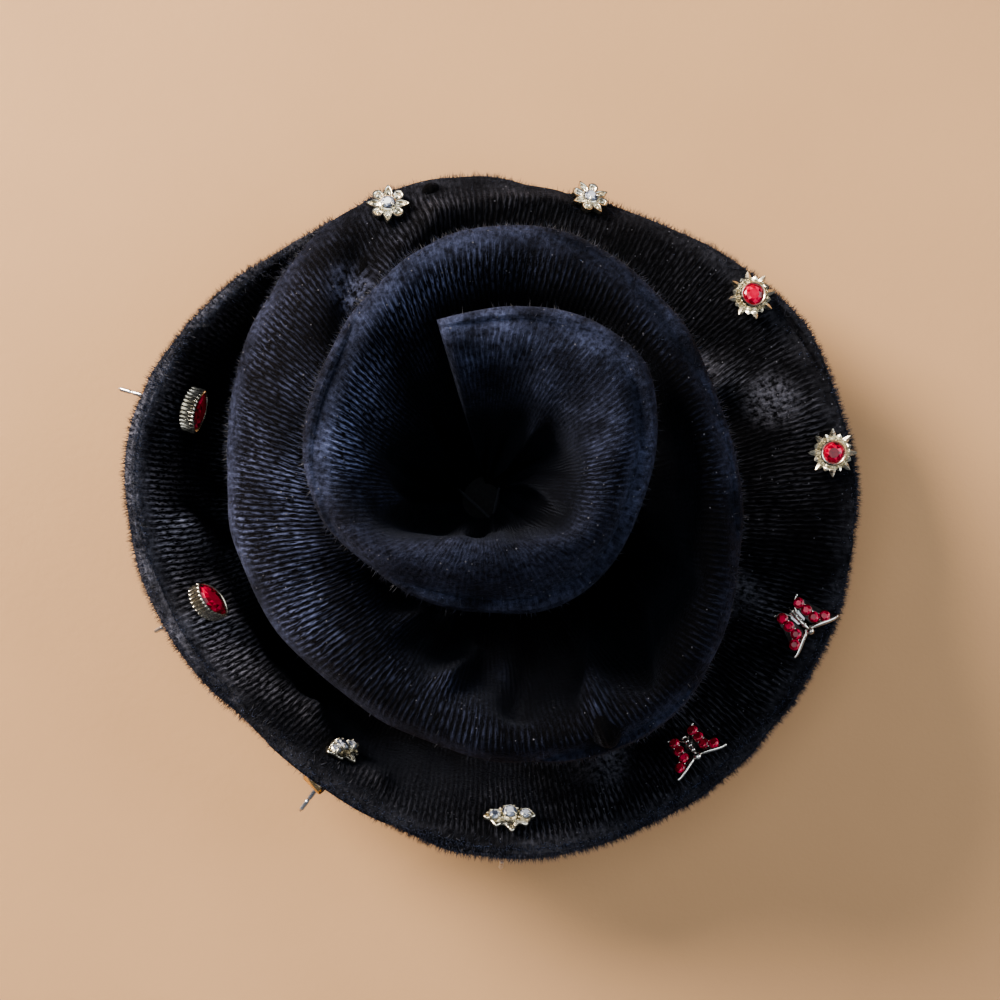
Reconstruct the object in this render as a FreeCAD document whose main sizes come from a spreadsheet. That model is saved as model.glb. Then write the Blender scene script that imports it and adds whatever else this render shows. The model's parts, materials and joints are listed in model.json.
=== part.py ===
"""Velvet rose hat pin with ten post studs, as a parametric FreeCAD document.

A strip of velvet, folded along its length, is coiled from the heart outwards into
a rose and sewn to a felt disc. A bar pin with a rotating safety catch is sewn
under the felt. Ten stud earrings, in five pairs, are pushed through the outermost
petal, each held behind it by a butterfly clutch.

Millimetres, +Z up through the rose. The origin is the centre of the felt disc's
lower face, +X runs along the bar pin towards its catch.
"""

import FreeCAD, Part
import Sketcher
import math
import os

Vector = FreeCAD.Vector
Rotation = FreeCAD.Rotation
Placement = FreeCAD.Placement

DIMENSIONS = (
    # alias, value in mm, degrees or a count, what it drives
    ("wall", 2.4, "doubled velvet with its soft fold"),
    ("coil_start", 1.4, "radius of the coil's base at the heart"),
    ("coil_end", 15.6, "radius of the coil's base at the outer end"),
    ("heart_x", -1.0, "heart's base from the coil's middle"),
    ("heart_y", 5.0, "heart's base from the coil's middle"),
    ("start_angle", 105.0, "direction of the strip's inner end"),
    ("turn_total", 1068.0, "degrees that the strip winds, clockwise from above"),
    ("turn_step", 30.0, "degrees between the given rim radii"),
    ("felt_radius", 17.0, "felt disc"),
    ("felt_thick", 1.5, "felt disc"),
    ("thread", 0.4, "sewing thread"),
    ("edge_stitches", 26, "stitches round the felt's edge"),
    ("coil_threads", 3, "long stitches through the coil's base"),
    ("bar_length", 32.0, "bar pin plate"),
    ("bar_width", 5.0, "bar pin plate"),
    ("bar_thick", 0.8, "bar pin plate"),
    ("bar_hole", 1.1, "radius of a sewing hole"),
    ("bar_hole_reach", 6.0, "sewing holes from the middle"),
    ("stem_radius", 0.4, "pin wire"),
    ("stem_drop", 3.0, "pin wire below the felt"),
    ("stem_tip", 4.0, "length of the ground point"),
    ("hinge_reach", 13.6, "rivet from the middle"),
    ("rivet_radius", 0.6, "hinge rivet"),
    ("running", 0.04, "radial clearance of a running fit"),
    ("eye_radius", 1.3, "pin wire's flattened eye"),
    ("ear_gap", 1.6, "between the hinge ears"),
    ("ear_thick", 0.6, "one hinge ear"),
    ("ear_radius", 1.5, "rounded end of a hinge ear"),
    ("catch_reach", 12.6, "middle of the catch from the middle"),
    ("catch_length", 3.4, "catch housing along the pin"),
    ("catch_outer", 1.85, "catch housing"),
    ("catch_inner", 1.4, "catch housing"),
    ("rotor_radius", 1.34, "turning catch"),
    ("rotor_slot", 0.96, "width of the turning catch's slot"),
    ("lever_length", 3.2, "turning catch's thumb lever from its axis"),
    ("lever_width", 1.0, "turning catch's thumb lever along the pin"),
    ("seat_gap", 0.3, "stud or clutch from the velvet"),
    ("post_radius", 0.35, "stud post"),
    ("post_length", 11.1, "stud post"),
    ("post_neck", 0.27, "radius left by the groove near a post's end"),
    ("post_groove", 0.75, "round of that groove"),
    ("post_neck_reach", 2.25, "groove's middle from the post's tip"),
    ("post_point", 0.5, "tapered tip of a post"),
    ("hole_slack", 0.06, "radial slack of a post in the velvet"),
    ("pad_radius", 1.0, "solder pad under a setting"),
    ("pad_thick", 0.3, "solder pad under a setting"),
    ("clutch_plate", 2.3, "radius of a clutch's plate"),
    ("clutch_sheet", 0.3, "clutch metal"),
    ("clutch_loop", 1.35, "outer radius of a clutch's curl"),
    ("clutch_width", 3.0, "length of a clutch's curls"),
    ("flower_radius", 3.0, "flower setting"),
    ("flower_stone", 1.0, "radius of its clear stone"),
    ("sun_radius", 3.45, "sunburst setting"),
    ("sun_stone", 1.4, "radius of its red stone"),
    ("butterfly_stone", 0.66, "radius of a wing's red stone"),
    ("tiara_centre", 1.0, "radius of the tiara's middle stone"),
    ("tiara_side", 0.75, "radius of a tiara's side stone"),
    ("navette_length", 6.4, "marquise bezel"),
    ("navette_width", 4.0, "marquise bezel"),
    ("navette_depth", 2.5, "marquise bezel"),
    ("navette_flutes", 26, "milled flutes round the bezel"),
    ("setting_thick", 0.7, "cast plate of a setting"),
)

# Rim radius from the origin at every turn_step along the strip, one line a turn.
RIM_RADII = (
    (25.5, 27.2, 27.5, 19.1, 15.5, 13.1, 10.9, 10.8, 12.4, 17.3, 24.3, 28.4),
    (36.8, 38.1, 34.4, 31.7, 32.3, 34.2, 31.9, 29.4, 29.7, 32.8, 36.8, 43.5),
    (49.0, 47.1, 50.5, 52.3, 50.9, 48.1, 48.0, 45.0, 43.1, 46.9, 51.5, 50.0),
    (46.0,),
)

# The wall's section at key turns: turn angle, then each control point as the share
# of the way out from base to rim and its height, and last the rim's own height.
SECTIONS = (
    (0, (0.20, 10), (0.32, 27), (0.60, 38), (0.90, 44), 44),
    (50, (0.34, 16), (0.46, 33), (0.60, 42), (0.86, 46), 44),
    (90, (0.52, 26), (0.60, 42), (0.65, 47), (0.86, 47), 43),
    (118, (0.58, 28), (0.67, 43), (0.72, 48), (0.89, 47), 43),
    (150, (0.20, 30), (0.23, 45), (0.29, 49), (0.66, 48), 42),
    (200, (0.08, 30), (0.09, 45), (0.15, 49), (0.64, 47), 41),
    (240, (0.12, 30), (0.13, 44), (0.19, 48), (0.62, 47), 42),
    (258, (0.28, 28), (0.31, 42), (0.37, 47), (0.68, 47), 42),
    (277, (0.60, 22), (0.70, 37), (0.76, 44), (0.90, 46), 42),
    (302, (0.24, 14), (0.38, 27), (0.56, 37), (0.86, 43), 42),
    (345, (0.25, 13), (0.45, 25), (0.69, 35), (0.92, 41), 40),
    (385, (0.34, 11), (0.58, 24), (0.74, 35), (0.92, 40), 38),
    (430, (0.43, 9), (0.70, 22), (0.79, 38), (0.90, 40), 37),
    (500, (0.44, 8), (0.71, 20), (0.80, 36), (0.91, 39), 36),
    (565, (0.34, 8), (0.62, 18), (0.80, 33), (0.92, 37), 34),
    (620, (0.22, 12), (0.40, 26), (0.54, 35), (0.82, 35), 29),
    (690, (0.20, 11), (0.38, 24), (0.50, 32), (0.80, 29), 22),
    (722, (0.22, 7), (0.46, 14), (0.68, 19), (0.87, 19), 18),
    (755, (0.22, 4), (0.46, 10), (0.70, 15), (0.89, 14), 10),
    (785, (0.22, 4), (0.46, 6), (0.68, 9), (0.88, 11), 11),
    (815, (0.22, 4), (0.46, 5), (0.70, 8), (0.88, 10), 10),
    (845, (0.22, 4), (0.46, 3), (0.70, 6), (0.88, 9), 10),
    (874, (0.22, 4), (0.46, 0), (0.68, 1), (0.88, 7), 11),
    (912, (0.22, 4), (0.44, -1), (0.64, -4), (0.80, 8), 14),
    (948, (0.22, 4), (0.46, -1), (0.90, -7), (0.89, 10), 20),
    (989, (0.22, 4), (0.44, -1), (0.66, -5), (0.80, 12), 18),
    (1025, (0.22, 4), (0.46, -1), (0.91, -7), (0.90, 10), 20),
    (1068, (0.22, 4), (0.46, 1), (0.74, 0), (0.91, 4), 9),
)

# Each stud: name, design, where it stands in plan, and the turn of its design about its post.
STUDS = (
    ("flower_1", "flower", -14.2, 42.7, 0.0),
    ("flower_2", "flower", 13.4, 44.7, 20.0),
    ("sun_1", "sun", 36.4, 31.6, 10.0),
    ("sun_2", "sun", 48.1, 9.6, 0.0),
    ("butterfly_1", "butterfly", 43.5, -13.8, -135.0),
    ("butterfly_2", "butterfly", 28.4, -32.4, -135.0),
    ("tiara_1", "tiara", -21.3, -33.1, 0.0),
    ("tiara_2", "tiara", 2.4, -42.6, 0.0),
    ("marquise_1", "marquise", -43.5, 16.0, 90.0),
    ("marquise_2", "marquise", -40.6, -11.9, -50.0),
)

# One wing of the butterfly, from the head out along the leading edge and back: x, y.
WING = (
    (0.35, 2.2), (1.7, 3.0), (4.1, 3.9), (3.7, 2.2), (2.9, 0.6),
    (3.1, -0.7), (2.2, -2.5), (0.9, -2.0), (0.3, -0.3),
)
WING_STONES = ((2.95, 2.55), (1.75, 1.65), (1.7, 0.2), (1.6, -1.25))
# The tiara's outline from its left tip over the stones and round its pointed lobe: x, y.
TIARA = (
    (-3.8, 0.5), (-2.8, 1.5), (-1.6, 1.3), (-1.0, 2.0),
    (0.0, 2.3), (1.0, 2.0), (1.6, 1.3), (2.8, 1.5),
    (3.8, 0.5), (2.9, -0.3), (2.2, -1.3), (1.1, -1.0),
    (0.0, -2.3), (-1.1, -1.0), (-2.2, -1.3), (-2.9, -0.3),
)

doc = FreeCAD.newDocument("velvet_rose_hat_pin")
sheet = doc.addObject("Spreadsheet::Sheet", "dims")
nodes = []
made = {"count": 0}


def fill_sheet():
    for row, (alias, value, note) in enumerate(DIMENSIONS, start=1):
        sheet.set(f"A{row}", note)
        sheet.set(f"B{row}", str(value))
        sheet.setAlias(f"B{row}", alias)
    doc.recompute()


def dim(alias):
    return float(sheet.get(alias))


def node(obj, name):
    """Marks an object as a sub-part: its label is the name of its file."""
    obj.Label = name
    nodes.append(obj)
    return obj


# ---------------------------------------------------------------- Part helpers

def part(kind, spot=(0, 0, 0), turn=None, **sizes):
    """A Part primitive with its sizes bound to the sheet by expressions."""
    made["count"] += 1
    obj = doc.addObject(f"Part::{kind}", f"{kind.lower()}_{made['count']}")
    for prop, size in sizes.items():
        if isinstance(size, str):
            obj.setExpression(prop, size)
        else:
            setattr(obj, prop, size)
    obj.Placement = Placement(Vector(*spot), turn or Rotation())
    return obj


def fuse(*pieces):
    if len(pieces) == 1:
        return pieces[0]
    return part("MultiFuse", Shapes=list(pieces), Refine=True)


def cut(base, *tools):
    return part("Cut", Base=base, Tool=fuse(*tools), Refine=True)


def prism(points, height, z=0.0, taper=0.0):
    """A closed outline raised along +Z, its sides leaning in by taper degrees."""
    outline = part("Polygon", Nodes=[Vector(x, y, z) for x, y in points], Close=True)
    solid = part("Extrusion", Base=outline, Dir=Vector(0, 0, 1), LengthFwd=height, Solid=True,
                 TaperAngle=taper)
    solid.DirMode = "Custom"
    return solid


ALONG_X = Rotation(Vector(0, 1, 0), 90)
ALONG_Y = Rotation(Vector(1, 0, 0), -90)


# ---------------------------------------------------------------- velvet strip

def between(turn, column):
    """A section's value at a turn angle, eased from one key turn to the next."""
    for low, high in zip(SECTIONS, SECTIONS[1:]):
        if turn <= high[0]:
            share = (turn - low[0]) / (high[0] - low[0])
            share = share * share * (3 - 2 * share)
            return column(low) * (1 - share) + column(high) * share
    return column(SECTIONS[-1])


def rim_radius(turn):
    """Catmull-Rom curve through the given rim radii."""
    radii = [r for ring in RIM_RADII for r in ring]
    place = min(turn / dim("turn_step"), len(radii) - 1.001)
    i = int(place)
    a, b, c, d = (radii[max(0, min(j, len(radii) - 1))] for j in (i - 1, i, i + 1, i + 2))
    s = place - i
    return b + 0.5 * s * (c - a + s * (2 * a - 5 * b + 4 * c - d + s * (3 * (b - c) + d - a)))


def section_poles(turn, swell):
    """Control points of the wall's closed section at one turn: up its inner face,
    round the fold at the rim, and down its outer face. They share one upright plane."""
    angle = math.radians(dim("start_angle") - turn)
    out = Vector(math.cos(angle), math.sin(angle), 0)
    done = turn / dim("turn_total")
    heart = Vector(dim("heart_x"), dim("heart_y"), 0) * max(0.0, 1 - 2 * done)
    base = heart + out * (dim("coil_start") + (dim("coil_end") - dim("coil_start")) * done)
    rim = out * rim_radius(turn) * swell
    run = Vector(rim.x - base.x, rim.y - base.y, 0)
    reach = run.Length
    run.normalize()
    reach -= dim("wall") / 2
    spine = [(0.0, dim("felt_thick"))]
    for k in range(1, 5):
        share = between(turn, lambda row: row[k][0])
        height = between(turn, lambda row: row[k][1])
        spine.append((reach * share, height))
    spine.append((reach, between(turn, lambda row: row[5])))
    half = dim("wall") / 2
    inner = [(spine[0][0] - half, spine[0][1])]
    outer = [(spine[0][0] + half, spine[0][1])]
    for before, here, after in zip(spine, spine[1:], spine[2:] + [spine[-1]]):
        dr, dz = after[0] - before[0], after[1] - before[1]
        length = math.hypot(dr, dz)
        inner.append((here[0] - half * dz / length, here[1] + half * dr / length))
        outer.append((here[0] + half * dz / length, here[1] - half * dr / length))
    dr, dz = spine[-1][0] - spine[-2][0], spine[-1][1] - spine[-2][1]
    length = math.hypot(dr, dz)
    tip = (dr / length * half * 1.2, dz / length * half * 1.2)
    fold = [(side[-1][0] + tip[0], side[-1][1] + tip[1]) for side in (inner, outer)]
    return [base + run * r + Vector(0, 0, z) for r, z in inner + fold + outer[::-1]]


def clamped_knots(poles):
    """Knots and multiplicities of a cubic spline that starts and ends on its poles."""
    spans = poles - 3
    return [4] + [1] * (spans - 1) + [4], [float(i) for i in range(spans + 1)]


def strip_surface():
    """The velvet's two faces and its fold as one smooth spline surface."""
    stations = 54
    step = dim("turn_total") / stations
    # A cubic spline lies this much inside poles that stand on a circle.
    swell = 3 / (2 + math.cos(math.radians(step)))
    poles = [section_poles(i * step, swell) for i in range(stations + 1)]
    along_mults, along_knots = clamped_knots(len(poles))
    across_mults, across_knots = clamped_knots(len(poles[0]))
    surface = Part.BSplineSurface()
    surface.buildFromPolesMultsKnots(
        poles, along_mults, across_mults, along_knots, across_knots, False, False, 3, 3)
    return surface


def strip_solid(surface):
    u0, u1, v0, v1 = surface.bounds()
    skin = surface.toShape()
    base = Part.makeRuledSurface(surface.vIso(v0).toShape(), surface.vIso(v1).toShape())
    faces = [skin, base]
    for u in (u0, u1):
        section = surface.uIso(u).toShape()
        closing = Part.makeLine(surface.value(u, v1), surface.value(u, v0))
        faces.append(Part.Face(Part.Wire([section, closing])))
    shell = Part.makeShell(faces)
    shell.sewShape()
    solid = Part.makeSolid(shell)
    if solid.Volume < 0:
        solid.reverse()
    return solid


def find_seat(skin, surface, x, y):
    """Where an upright line at x, y meets the velvet's upper face, and the way out of it."""
    line = Part.makeLine(Vector(x, y, 60), Vector(x, y, -20))
    hits = sorted((v.Point for v in skin.section(line).Vertexes), key=lambda p: -p.z)
    point = hits[0]
    u, v = surface.parameter(point)
    normal = surface.normal(u, v)
    if normal.z < 0:
        normal = normal * -1
    return point, normal


def wall_depth(skin, point, axis):
    """How far a post runs through the doubled velvet."""
    line = Part.makeLine(point - axis * 0.5, point - axis * 8)
    depths = [(point - v.Point).Length for v in skin.section(line).Vertexes]
    return max(depths)


def stud_frames(surface):
    """Each stud's placement, with +Z out of the velvet and the design's top turned
    as given from the rose's own +Y, and the depth of velvet behind it."""
    skin = surface.toShape()
    frames = {}
    for name, _, x, y, spin in STUDS:
        point, axis = find_seat(skin, surface, x, y)
        up = Vector(0, 1, 0) - axis * axis.y
        frame = Rotation(Vector(0, 0, 0), up, axis, "ZYX")
        frame = frame.multiply(Rotation(Vector(0, 0, 1), spin))
        place = Placement(point + axis * dim("seat_gap"), frame)
        frames[name] = (place, axis, wall_depth(skin, point, axis))
    return frames


def velvet_strip(surface, frames):
    solid = strip_solid(surface)
    radius = dim("post_radius") + dim("hole_slack")
    for place, axis, depth in frames.values():
        start = place.Base + axis * 1.0
        solid = solid.cut(Part.makeCylinder(radius, depth + 4.0, start, axis * -1))
    strip = doc.addObject("Part::Feature", "strip")
    strip.Shape = solid.Solids[0] if len(solid.Solids) == 1 else solid
    node(strip, "velvet_strip")


# ---------------------------------------------------------------- felt and thread

def sketch_on(body, role, name):
    sketch = body.newObject("Sketcher::SketchObject", name)
    plane = next(f for f in body.Origin.OriginFeatures if f.Role == role)
    sketch.AttachmentSupport = (plane, [""])
    sketch.MapMode = "FlatFace"
    return sketch


def circle(sketch, x, y, radius):
    """A circle held by its centre and by a radius bound to the sheet."""
    edge = sketch.addGeometry(Part.Circle(Vector(x, y, 0), Vector(0, 0, 1), 1.0), False)
    sketch.addConstraint(Sketcher.Constraint("DistanceX", edge, 3, x) if x else
                         Sketcher.Constraint("PointOnObject", edge, 3, -2))
    sketch.addConstraint(Sketcher.Constraint("DistanceY", edge, 3, y) if y else
                         Sketcher.Constraint("PointOnObject", edge, 3, -1))
    size = sketch.addConstraint(Sketcher.Constraint("Radius", edge, 1.0))
    sketch.setExpression(f"Constraints[{size}]", radius)
    return edge


def felt_backing():
    body = node(doc.addObject("PartDesign::Body", "felt"), "felt_backing")
    outline = sketch_on(body, "XY_Plane", "felt_outline")
    circle(outline, 0, 0, "dims.felt_radius")
    pad = body.newObject("PartDesign::Pad", "felt_pad")
    pad.Profile = outline
    pad.setExpression("Length", "dims.felt_thick")


def stitch(start, end, legs):
    """One stitch: a thread from start to end with a leg up into the cloth at each."""
    radius = dim("thread") / 2
    run = end - start
    pieces = [Part.makeCylinder(radius, run.Length, start, run)]
    for point, leg in zip((start, end), legs):
        pieces.append(Part.makeCylinder(radius, leg, point, Vector(0, 0, 1)))
        pieces.append(Part.makeSphere(radius, point))
    return pieces[0].multiFuse(pieces[1:])


def group(name, solids):
    obj = doc.addObject("Part::Feature", name)
    obj.Shape = Part.makeCompound(solids)
    node(obj, name)


def felt_edge_stitches():
    """Stitches that carry the felt's edge up to the coil's base."""
    count = int(dim("edge_stitches"))
    reach = dim("felt_radius")
    low = -dim("thread") / 2
    solids = []
    for i in range(count):
        angle = 2 * math.pi * (i + 0.5) / count
        lean = angle + 0.05
        start = Vector(math.cos(angle), math.sin(angle), 0) * (reach - 1.5)
        end = Vector(math.cos(lean), math.sin(lean), 0) * (reach + 0.4)
        drop = Vector(0, 0, low)
        solids.append(stitch(start + drop, end + drop, (1.0, 2.2)))
    group("felt_edge_stitches", solids)


def coil_stitches():
    """Long stitches right through the coil just above the felt, knotted at their ends."""
    count = int(dim("coil_threads"))
    radius = dim("thread") / 2
    solids = []
    for i in range(count):
        way = Vector(math.cos(math.pi * (i + 0.3) / count), math.sin(math.pi * (i + 0.3) / count), 0)
        rise = Vector(0, 0, 2.6 + 0.8 * i)
        reach = dim("coil_end") - 0.5
        thread = Part.makeCylinder(radius, 2 * reach, way * -reach + rise, way)
        solids.append(thread)
    group("coil_stitches", solids)


def bar_stitches():
    """Thread from each sewing hole over both edges of the bar and up into the felt."""
    low = -dim("bar_thick") - dim("thread") / 2
    solids = []
    for side in (-1, 1):
        for edge in (-1, 1):
            for fan in (-1, 1):
                hole = side * dim("bar_hole_reach")
                over_edge = dim("bar_width") / 2 + 0.35
                start = Vector(hole + fan * 0.45, edge * 0.55, low)
                end = Vector(hole + fan * 0.9, edge * over_edge, low)
                solids.append(stitch(start, end, (1.8, 1.8)))
    group("bar_stitches", solids)


# ---------------------------------------------------------------- bar pin

def pin_bar():
    """Plate with rounded ends, two sewing holes and two hinge ears."""
    plate = part("Box", Length="dims.bar_length - dims.bar_width", Width="dims.bar_width",
                 Height="dims.bar_thick")
    plate.setExpression("Placement.Base.x", "-(dims.bar_length - dims.bar_width) / 2")
    plate.setExpression("Placement.Base.y", "-dims.bar_width / 2")
    plate.setExpression("Placement.Base.z", "-dims.bar_thick")
    ends = []
    for side in (-1, 1):
        end = part("Cylinder", Radius="dims.bar_width / 2", Height="dims.bar_thick")
        end.setExpression("Placement.Base.x", f"{side} * (dims.bar_length - dims.bar_width) / 2")
        end.setExpression("Placement.Base.z", "-dims.bar_thick")
        ends.append(end)
    ears = []
    for side in (-1, 1):
        tongue = part("Box", Length="2 * dims.ear_radius", Width="dims.ear_thick",
                      Height="dims.stem_drop - dims.bar_thick / 2")
        round_end = part("Cylinder", turn=ALONG_Y, Radius="dims.ear_radius", Height="dims.ear_thick")
        near = "dims.ear_gap / 2" if side > 0 else "-dims.ear_gap / 2 - dims.ear_thick"
        for piece, x in ((tongue, "-dims.hinge_reach - dims.ear_radius"),
                         (round_end, "-dims.hinge_reach")):
            piece.setExpression("Placement.Base.x", x)
            piece.setExpression("Placement.Base.y", near)
            piece.setExpression("Placement.Base.z", "-dims.stem_drop")
        ears += [tongue, round_end]
    holes = []
    for side in (-1, 1):
        hole = part("Cylinder", Radius="dims.bar_hole", Height=4.0, spot=(0, 0, -2))
        hole.setExpression("Placement.Base.x", f"{side} * dims.bar_hole_reach")
        holes.append(hole)
    bore = part("Cylinder", turn=ALONG_Y, Radius="dims.rivet_radius", Height=6.0)
    bore.setExpression("Placement.Base.x", "-dims.hinge_reach")
    bore.setExpression("Placement.Base.y", "-3")
    bore.setExpression("Placement.Base.z", "-dims.stem_drop")
    node(cut(fuse(plate, *ends, *ears), bore, *holes), "pin_bar")


def hinge_rivet():
    half = "(dims.ear_gap / 2 + dims.ear_thick)"
    shank = part("Cylinder", turn=ALONG_Y, Radius="dims.rivet_radius", Height=f"2 * {half} + 0.8")
    shank.setExpression("Placement.Base.y", f"-{half} - 0.4")
    pieces = [shank]
    for side, base in ((1, half), (-1, f"-{half} - 0.4")):
        head = part("Cylinder", turn=ALONG_Y, Radius="1.7 * dims.rivet_radius", Height=0.4)
        head.setExpression("Placement.Base.y", base)
        pieces.append(head)
    for piece in pieces:
        piece.setExpression("Placement.Base.x", "-dims.hinge_reach")
        piece.setExpression("Placement.Base.z", "-dims.stem_drop")
    node(fuse(*pieces), "hinge_rivet")


def pin_stem():
    """Pin wire with a flattened eye on the rivet and a ground point past the catch."""
    reach = "dims.hinge_reach + dims.catch_reach + 1.5 * dims.catch_length"
    thick = "dims.ear_gap - 0.2"
    eye = part("Cylinder", turn=ALONG_Y, Radius="dims.eye_radius", Height=thick)
    bore = part("Cylinder", turn=ALONG_Y, Radius="dims.rivet_radius + dims.running", Height=thick)
    wire = part("Cylinder", turn=ALONG_X, Radius="dims.stem_radius",
                Height=f"{reach} - dims.stem_tip - dims.rivet_radius - 0.3")
    point = part("Cone", turn=ALONG_X, Radius1="dims.stem_radius", Radius2=0.06, Height="dims.stem_tip")
    for piece in (eye, bore):
        piece.setExpression("Placement.Base.x", "-dims.hinge_reach")
        piece.setExpression("Placement.Base.y", "-dims.ear_gap / 2 + 0.1")
    wire.setExpression("Placement.Base.x", "-dims.hinge_reach + dims.rivet_radius + 0.3")
    point.setExpression("Placement.Base.x", f"-dims.hinge_reach + {reach} - dims.stem_tip")
    for piece in (eye, bore, wire, point):
        piece.setExpression("Placement.Base.z", "-dims.stem_drop")
    node(fuse(cut(eye, bore), wire, point), "pin_stem")


def on_catch_axis(piece, start):
    """Puts a piece that runs along X on the catch's axis, starting at start from its middle."""
    piece.setExpression("Placement.Base.x", f"dims.catch_reach + {start}")
    piece.setExpression("Placement.Base.z", "-dims.stem_drop")
    return piece


def catch_housing():
    """Curled tube, open below, with a slit for the lever and a saddle staked to the bar."""
    tube = on_catch_axis(part("Cylinder", turn=ALONG_X, Radius="dims.catch_outer",
                              Height="dims.catch_length"), "-dims.catch_length / 2")
    inside = on_catch_axis(part("Cylinder", turn=ALONG_X, Radius="dims.catch_inner", Height=6.0), "-3")
    mouth = part("Box", Length=6.0, Width="dims.rotor_slot + 0.04", Height=3.0)
    mouth.setExpression("Placement.Base.x", "dims.catch_reach - 3")
    mouth.setExpression("Placement.Base.y", "-(dims.rotor_slot + 0.04) / 2")
    mouth.setExpression("Placement.Base.z", "-dims.stem_drop - 3")
    slit = part("Box", Length="dims.lever_width + 0.2", Width=6.0, Height=3.0)
    slit.setExpression("Placement.Base.x", "dims.catch_reach - dims.lever_width / 2 - 0.1")
    slit.setExpression("Placement.Base.y", "-3")
    slit.setExpression("Placement.Base.z", "-dims.stem_drop - 2.4")
    saddle = part("Box", Length="dims.catch_length", Width=2.4, Height="dims.stem_drop - dims.bar_thick")
    saddle.setExpression("Placement.Base.x", "dims.catch_reach - dims.catch_length / 2")
    saddle.setExpression("Placement.Base.y", "-1.2")
    saddle.setExpression("Placement.Base.z", "-dims.stem_drop")
    node(cut(fuse(tube, saddle), inside, mouth, slit), "catch_housing")


def catch_rotor():
    """Turning barrel with a slot for the pin wire and a thumb lever, shown open."""
    barrel = on_catch_axis(part("Cylinder", turn=ALONG_X, Radius="dims.rotor_radius",
                                Height="dims.catch_length - 0.4"),
                           "-dims.catch_length / 2 + 0.2")
    bore = on_catch_axis(part("Cylinder", turn=ALONG_X, Radius="dims.rotor_slot / 2", Height=6.0), "-3")
    slot = part("Box", Length=6.0, Width="dims.rotor_slot", Height=3.0)
    slot.setExpression("Placement.Base.x", "dims.catch_reach - 3")
    slot.setExpression("Placement.Base.y", "-dims.rotor_slot / 2")
    slot.setExpression("Placement.Base.z", "-dims.stem_drop - 3")
    lever = part("Box", Length="dims.lever_width", Width="dims.lever_length - 0.7", Height=0.7)
    lever.setExpression("Placement.Base.x", "dims.catch_reach - dims.lever_width / 2")
    lever.setExpression("Placement.Base.y", "-dims.lever_length")
    lever.setExpression("Placement.Base.z", "-dims.stem_drop - 0.9")
    node(cut(fuse(barrel, lever), bore, slot), "catch_rotor")


# ---------------------------------------------------------------- studs

def stone(radius, spot, sides=16):
    """A cut stone: culet, girdle and table joined by straight facets. Its culet is at spot."""
    x, y, z = spot
    rings = []
    for share, height in ((0.2, 0.0), (1.0, 0.75), (1.0, 0.85), (0.6, 1.25)):
        ring = part("RegularPolygon", Polygon=sides, Circumradius=f"{share} * ({radius})")
        ring.setExpression("Placement.Base.x", f"{x}")
        ring.setExpression("Placement.Base.y", f"{y}")
        ring.setExpression("Placement.Base.z", f"{z} + {height} * ({radius})")
        rings.append(ring)
    return part("Loft", Sections=rings, Solid=True, Ruled=True)


def seat_pocket(radius, spot):
    """The hole that a stone drops into, from its culet up."""
    pocket = part("Cylinder", Radius=f"{radius} + 0.03", Height=4.0)
    for axis, value in zip("xyz", spot):
        pocket.setExpression(f"Placement.Base.{axis}", f"{value}")
    return pocket


def cup(radius, spot, depth):
    """The collet round a stone, standing on the setting's plate."""
    wall = part("Cylinder", Radius=f"{radius} + 0.3", Height=depth)
    for axis, value in zip("xyz", spot):
        wall.setExpression(f"Placement.Base.{axis}", f"{value}")
    return wall


def star(points, long_tip, short_tip, valley):
    """Outline of a burst: long and short points in turn with valleys between."""
    outline = []
    for i in range(4 * points):
        radius = (long_tip, valley, short_tip, valley)[i % 4]
        angle = math.pi / 2 + 2 * math.pi * i / (4 * points)
        outline.append((radius * math.cos(angle), radius * math.sin(angle)))
    return outline


def flower_setting():
    """Eight scooped petals, pointed and round in turn, about a claw-set clear stone."""
    radius = dim("flower_radius")
    pieces = [prism(star(4, radius, 0.55 * radius, 0.42 * radius), 0.6)]
    for i in range(4):
        angle = math.pi / 4 + math.pi / 2 * i
        spot = (0.64 * radius * math.cos(angle), 0.64 * radius * math.sin(angle), 0)
        pieces.append(part("Cylinder", spot=spot, Radius=0.28 * radius, Height=0.7))
    pieces.append(cup("dims.flower_stone", (0, 0, 0), 1.3))
    seat = (0, 0, 0.6)
    setting = cut(fuse(*pieces), seat_pocket("dims.flower_stone", seat))
    return setting, [stone("dims.flower_stone", seat)]


def sun_setting():
    """Eight long and eight short rays about a bezel-set red stone."""
    radius = dim("sun_radius")
    rays = prism(star(8, radius, 0.84 * radius, 0.66 * radius), "dims.setting_thick")
    seat = (0, 0, 0.5)
    setting = cut(fuse(rays, cup("dims.sun_stone", (0, 0, 0), 1.9)), seat_pocket("dims.sun_stone", seat))
    return setting, [stone("dims.sun_stone", seat)]


def butterfly_setting():
    """Two swept wings set with red stones, joined by a slim body with a round head."""
    outline = list(WING) + [(-x, y) for x, y in reversed(WING)]
    plate = prism(outline, "dims.setting_thick")
    body = part("Ellipsoid", spot=(0, 0.4, 0.5), Radius1=0.45, Radius2=0.5, Radius3=2.3)
    head = part("Sphere", spot=(0, 2.9, 0.5), Radius=0.55)
    pockets, stones = [], []
    for side in (-1, 1):
        for x, y in WING_STONES:
            seat = (side * x, y, 0.3)
            pockets.append(seat_pocket("dims.butterfly_stone", seat))
            stones.append(stone("dims.butterfly_stone", seat, sides=12))
    setting = cut(fuse(plate, body, head), *pockets)
    return setting, stones


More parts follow.
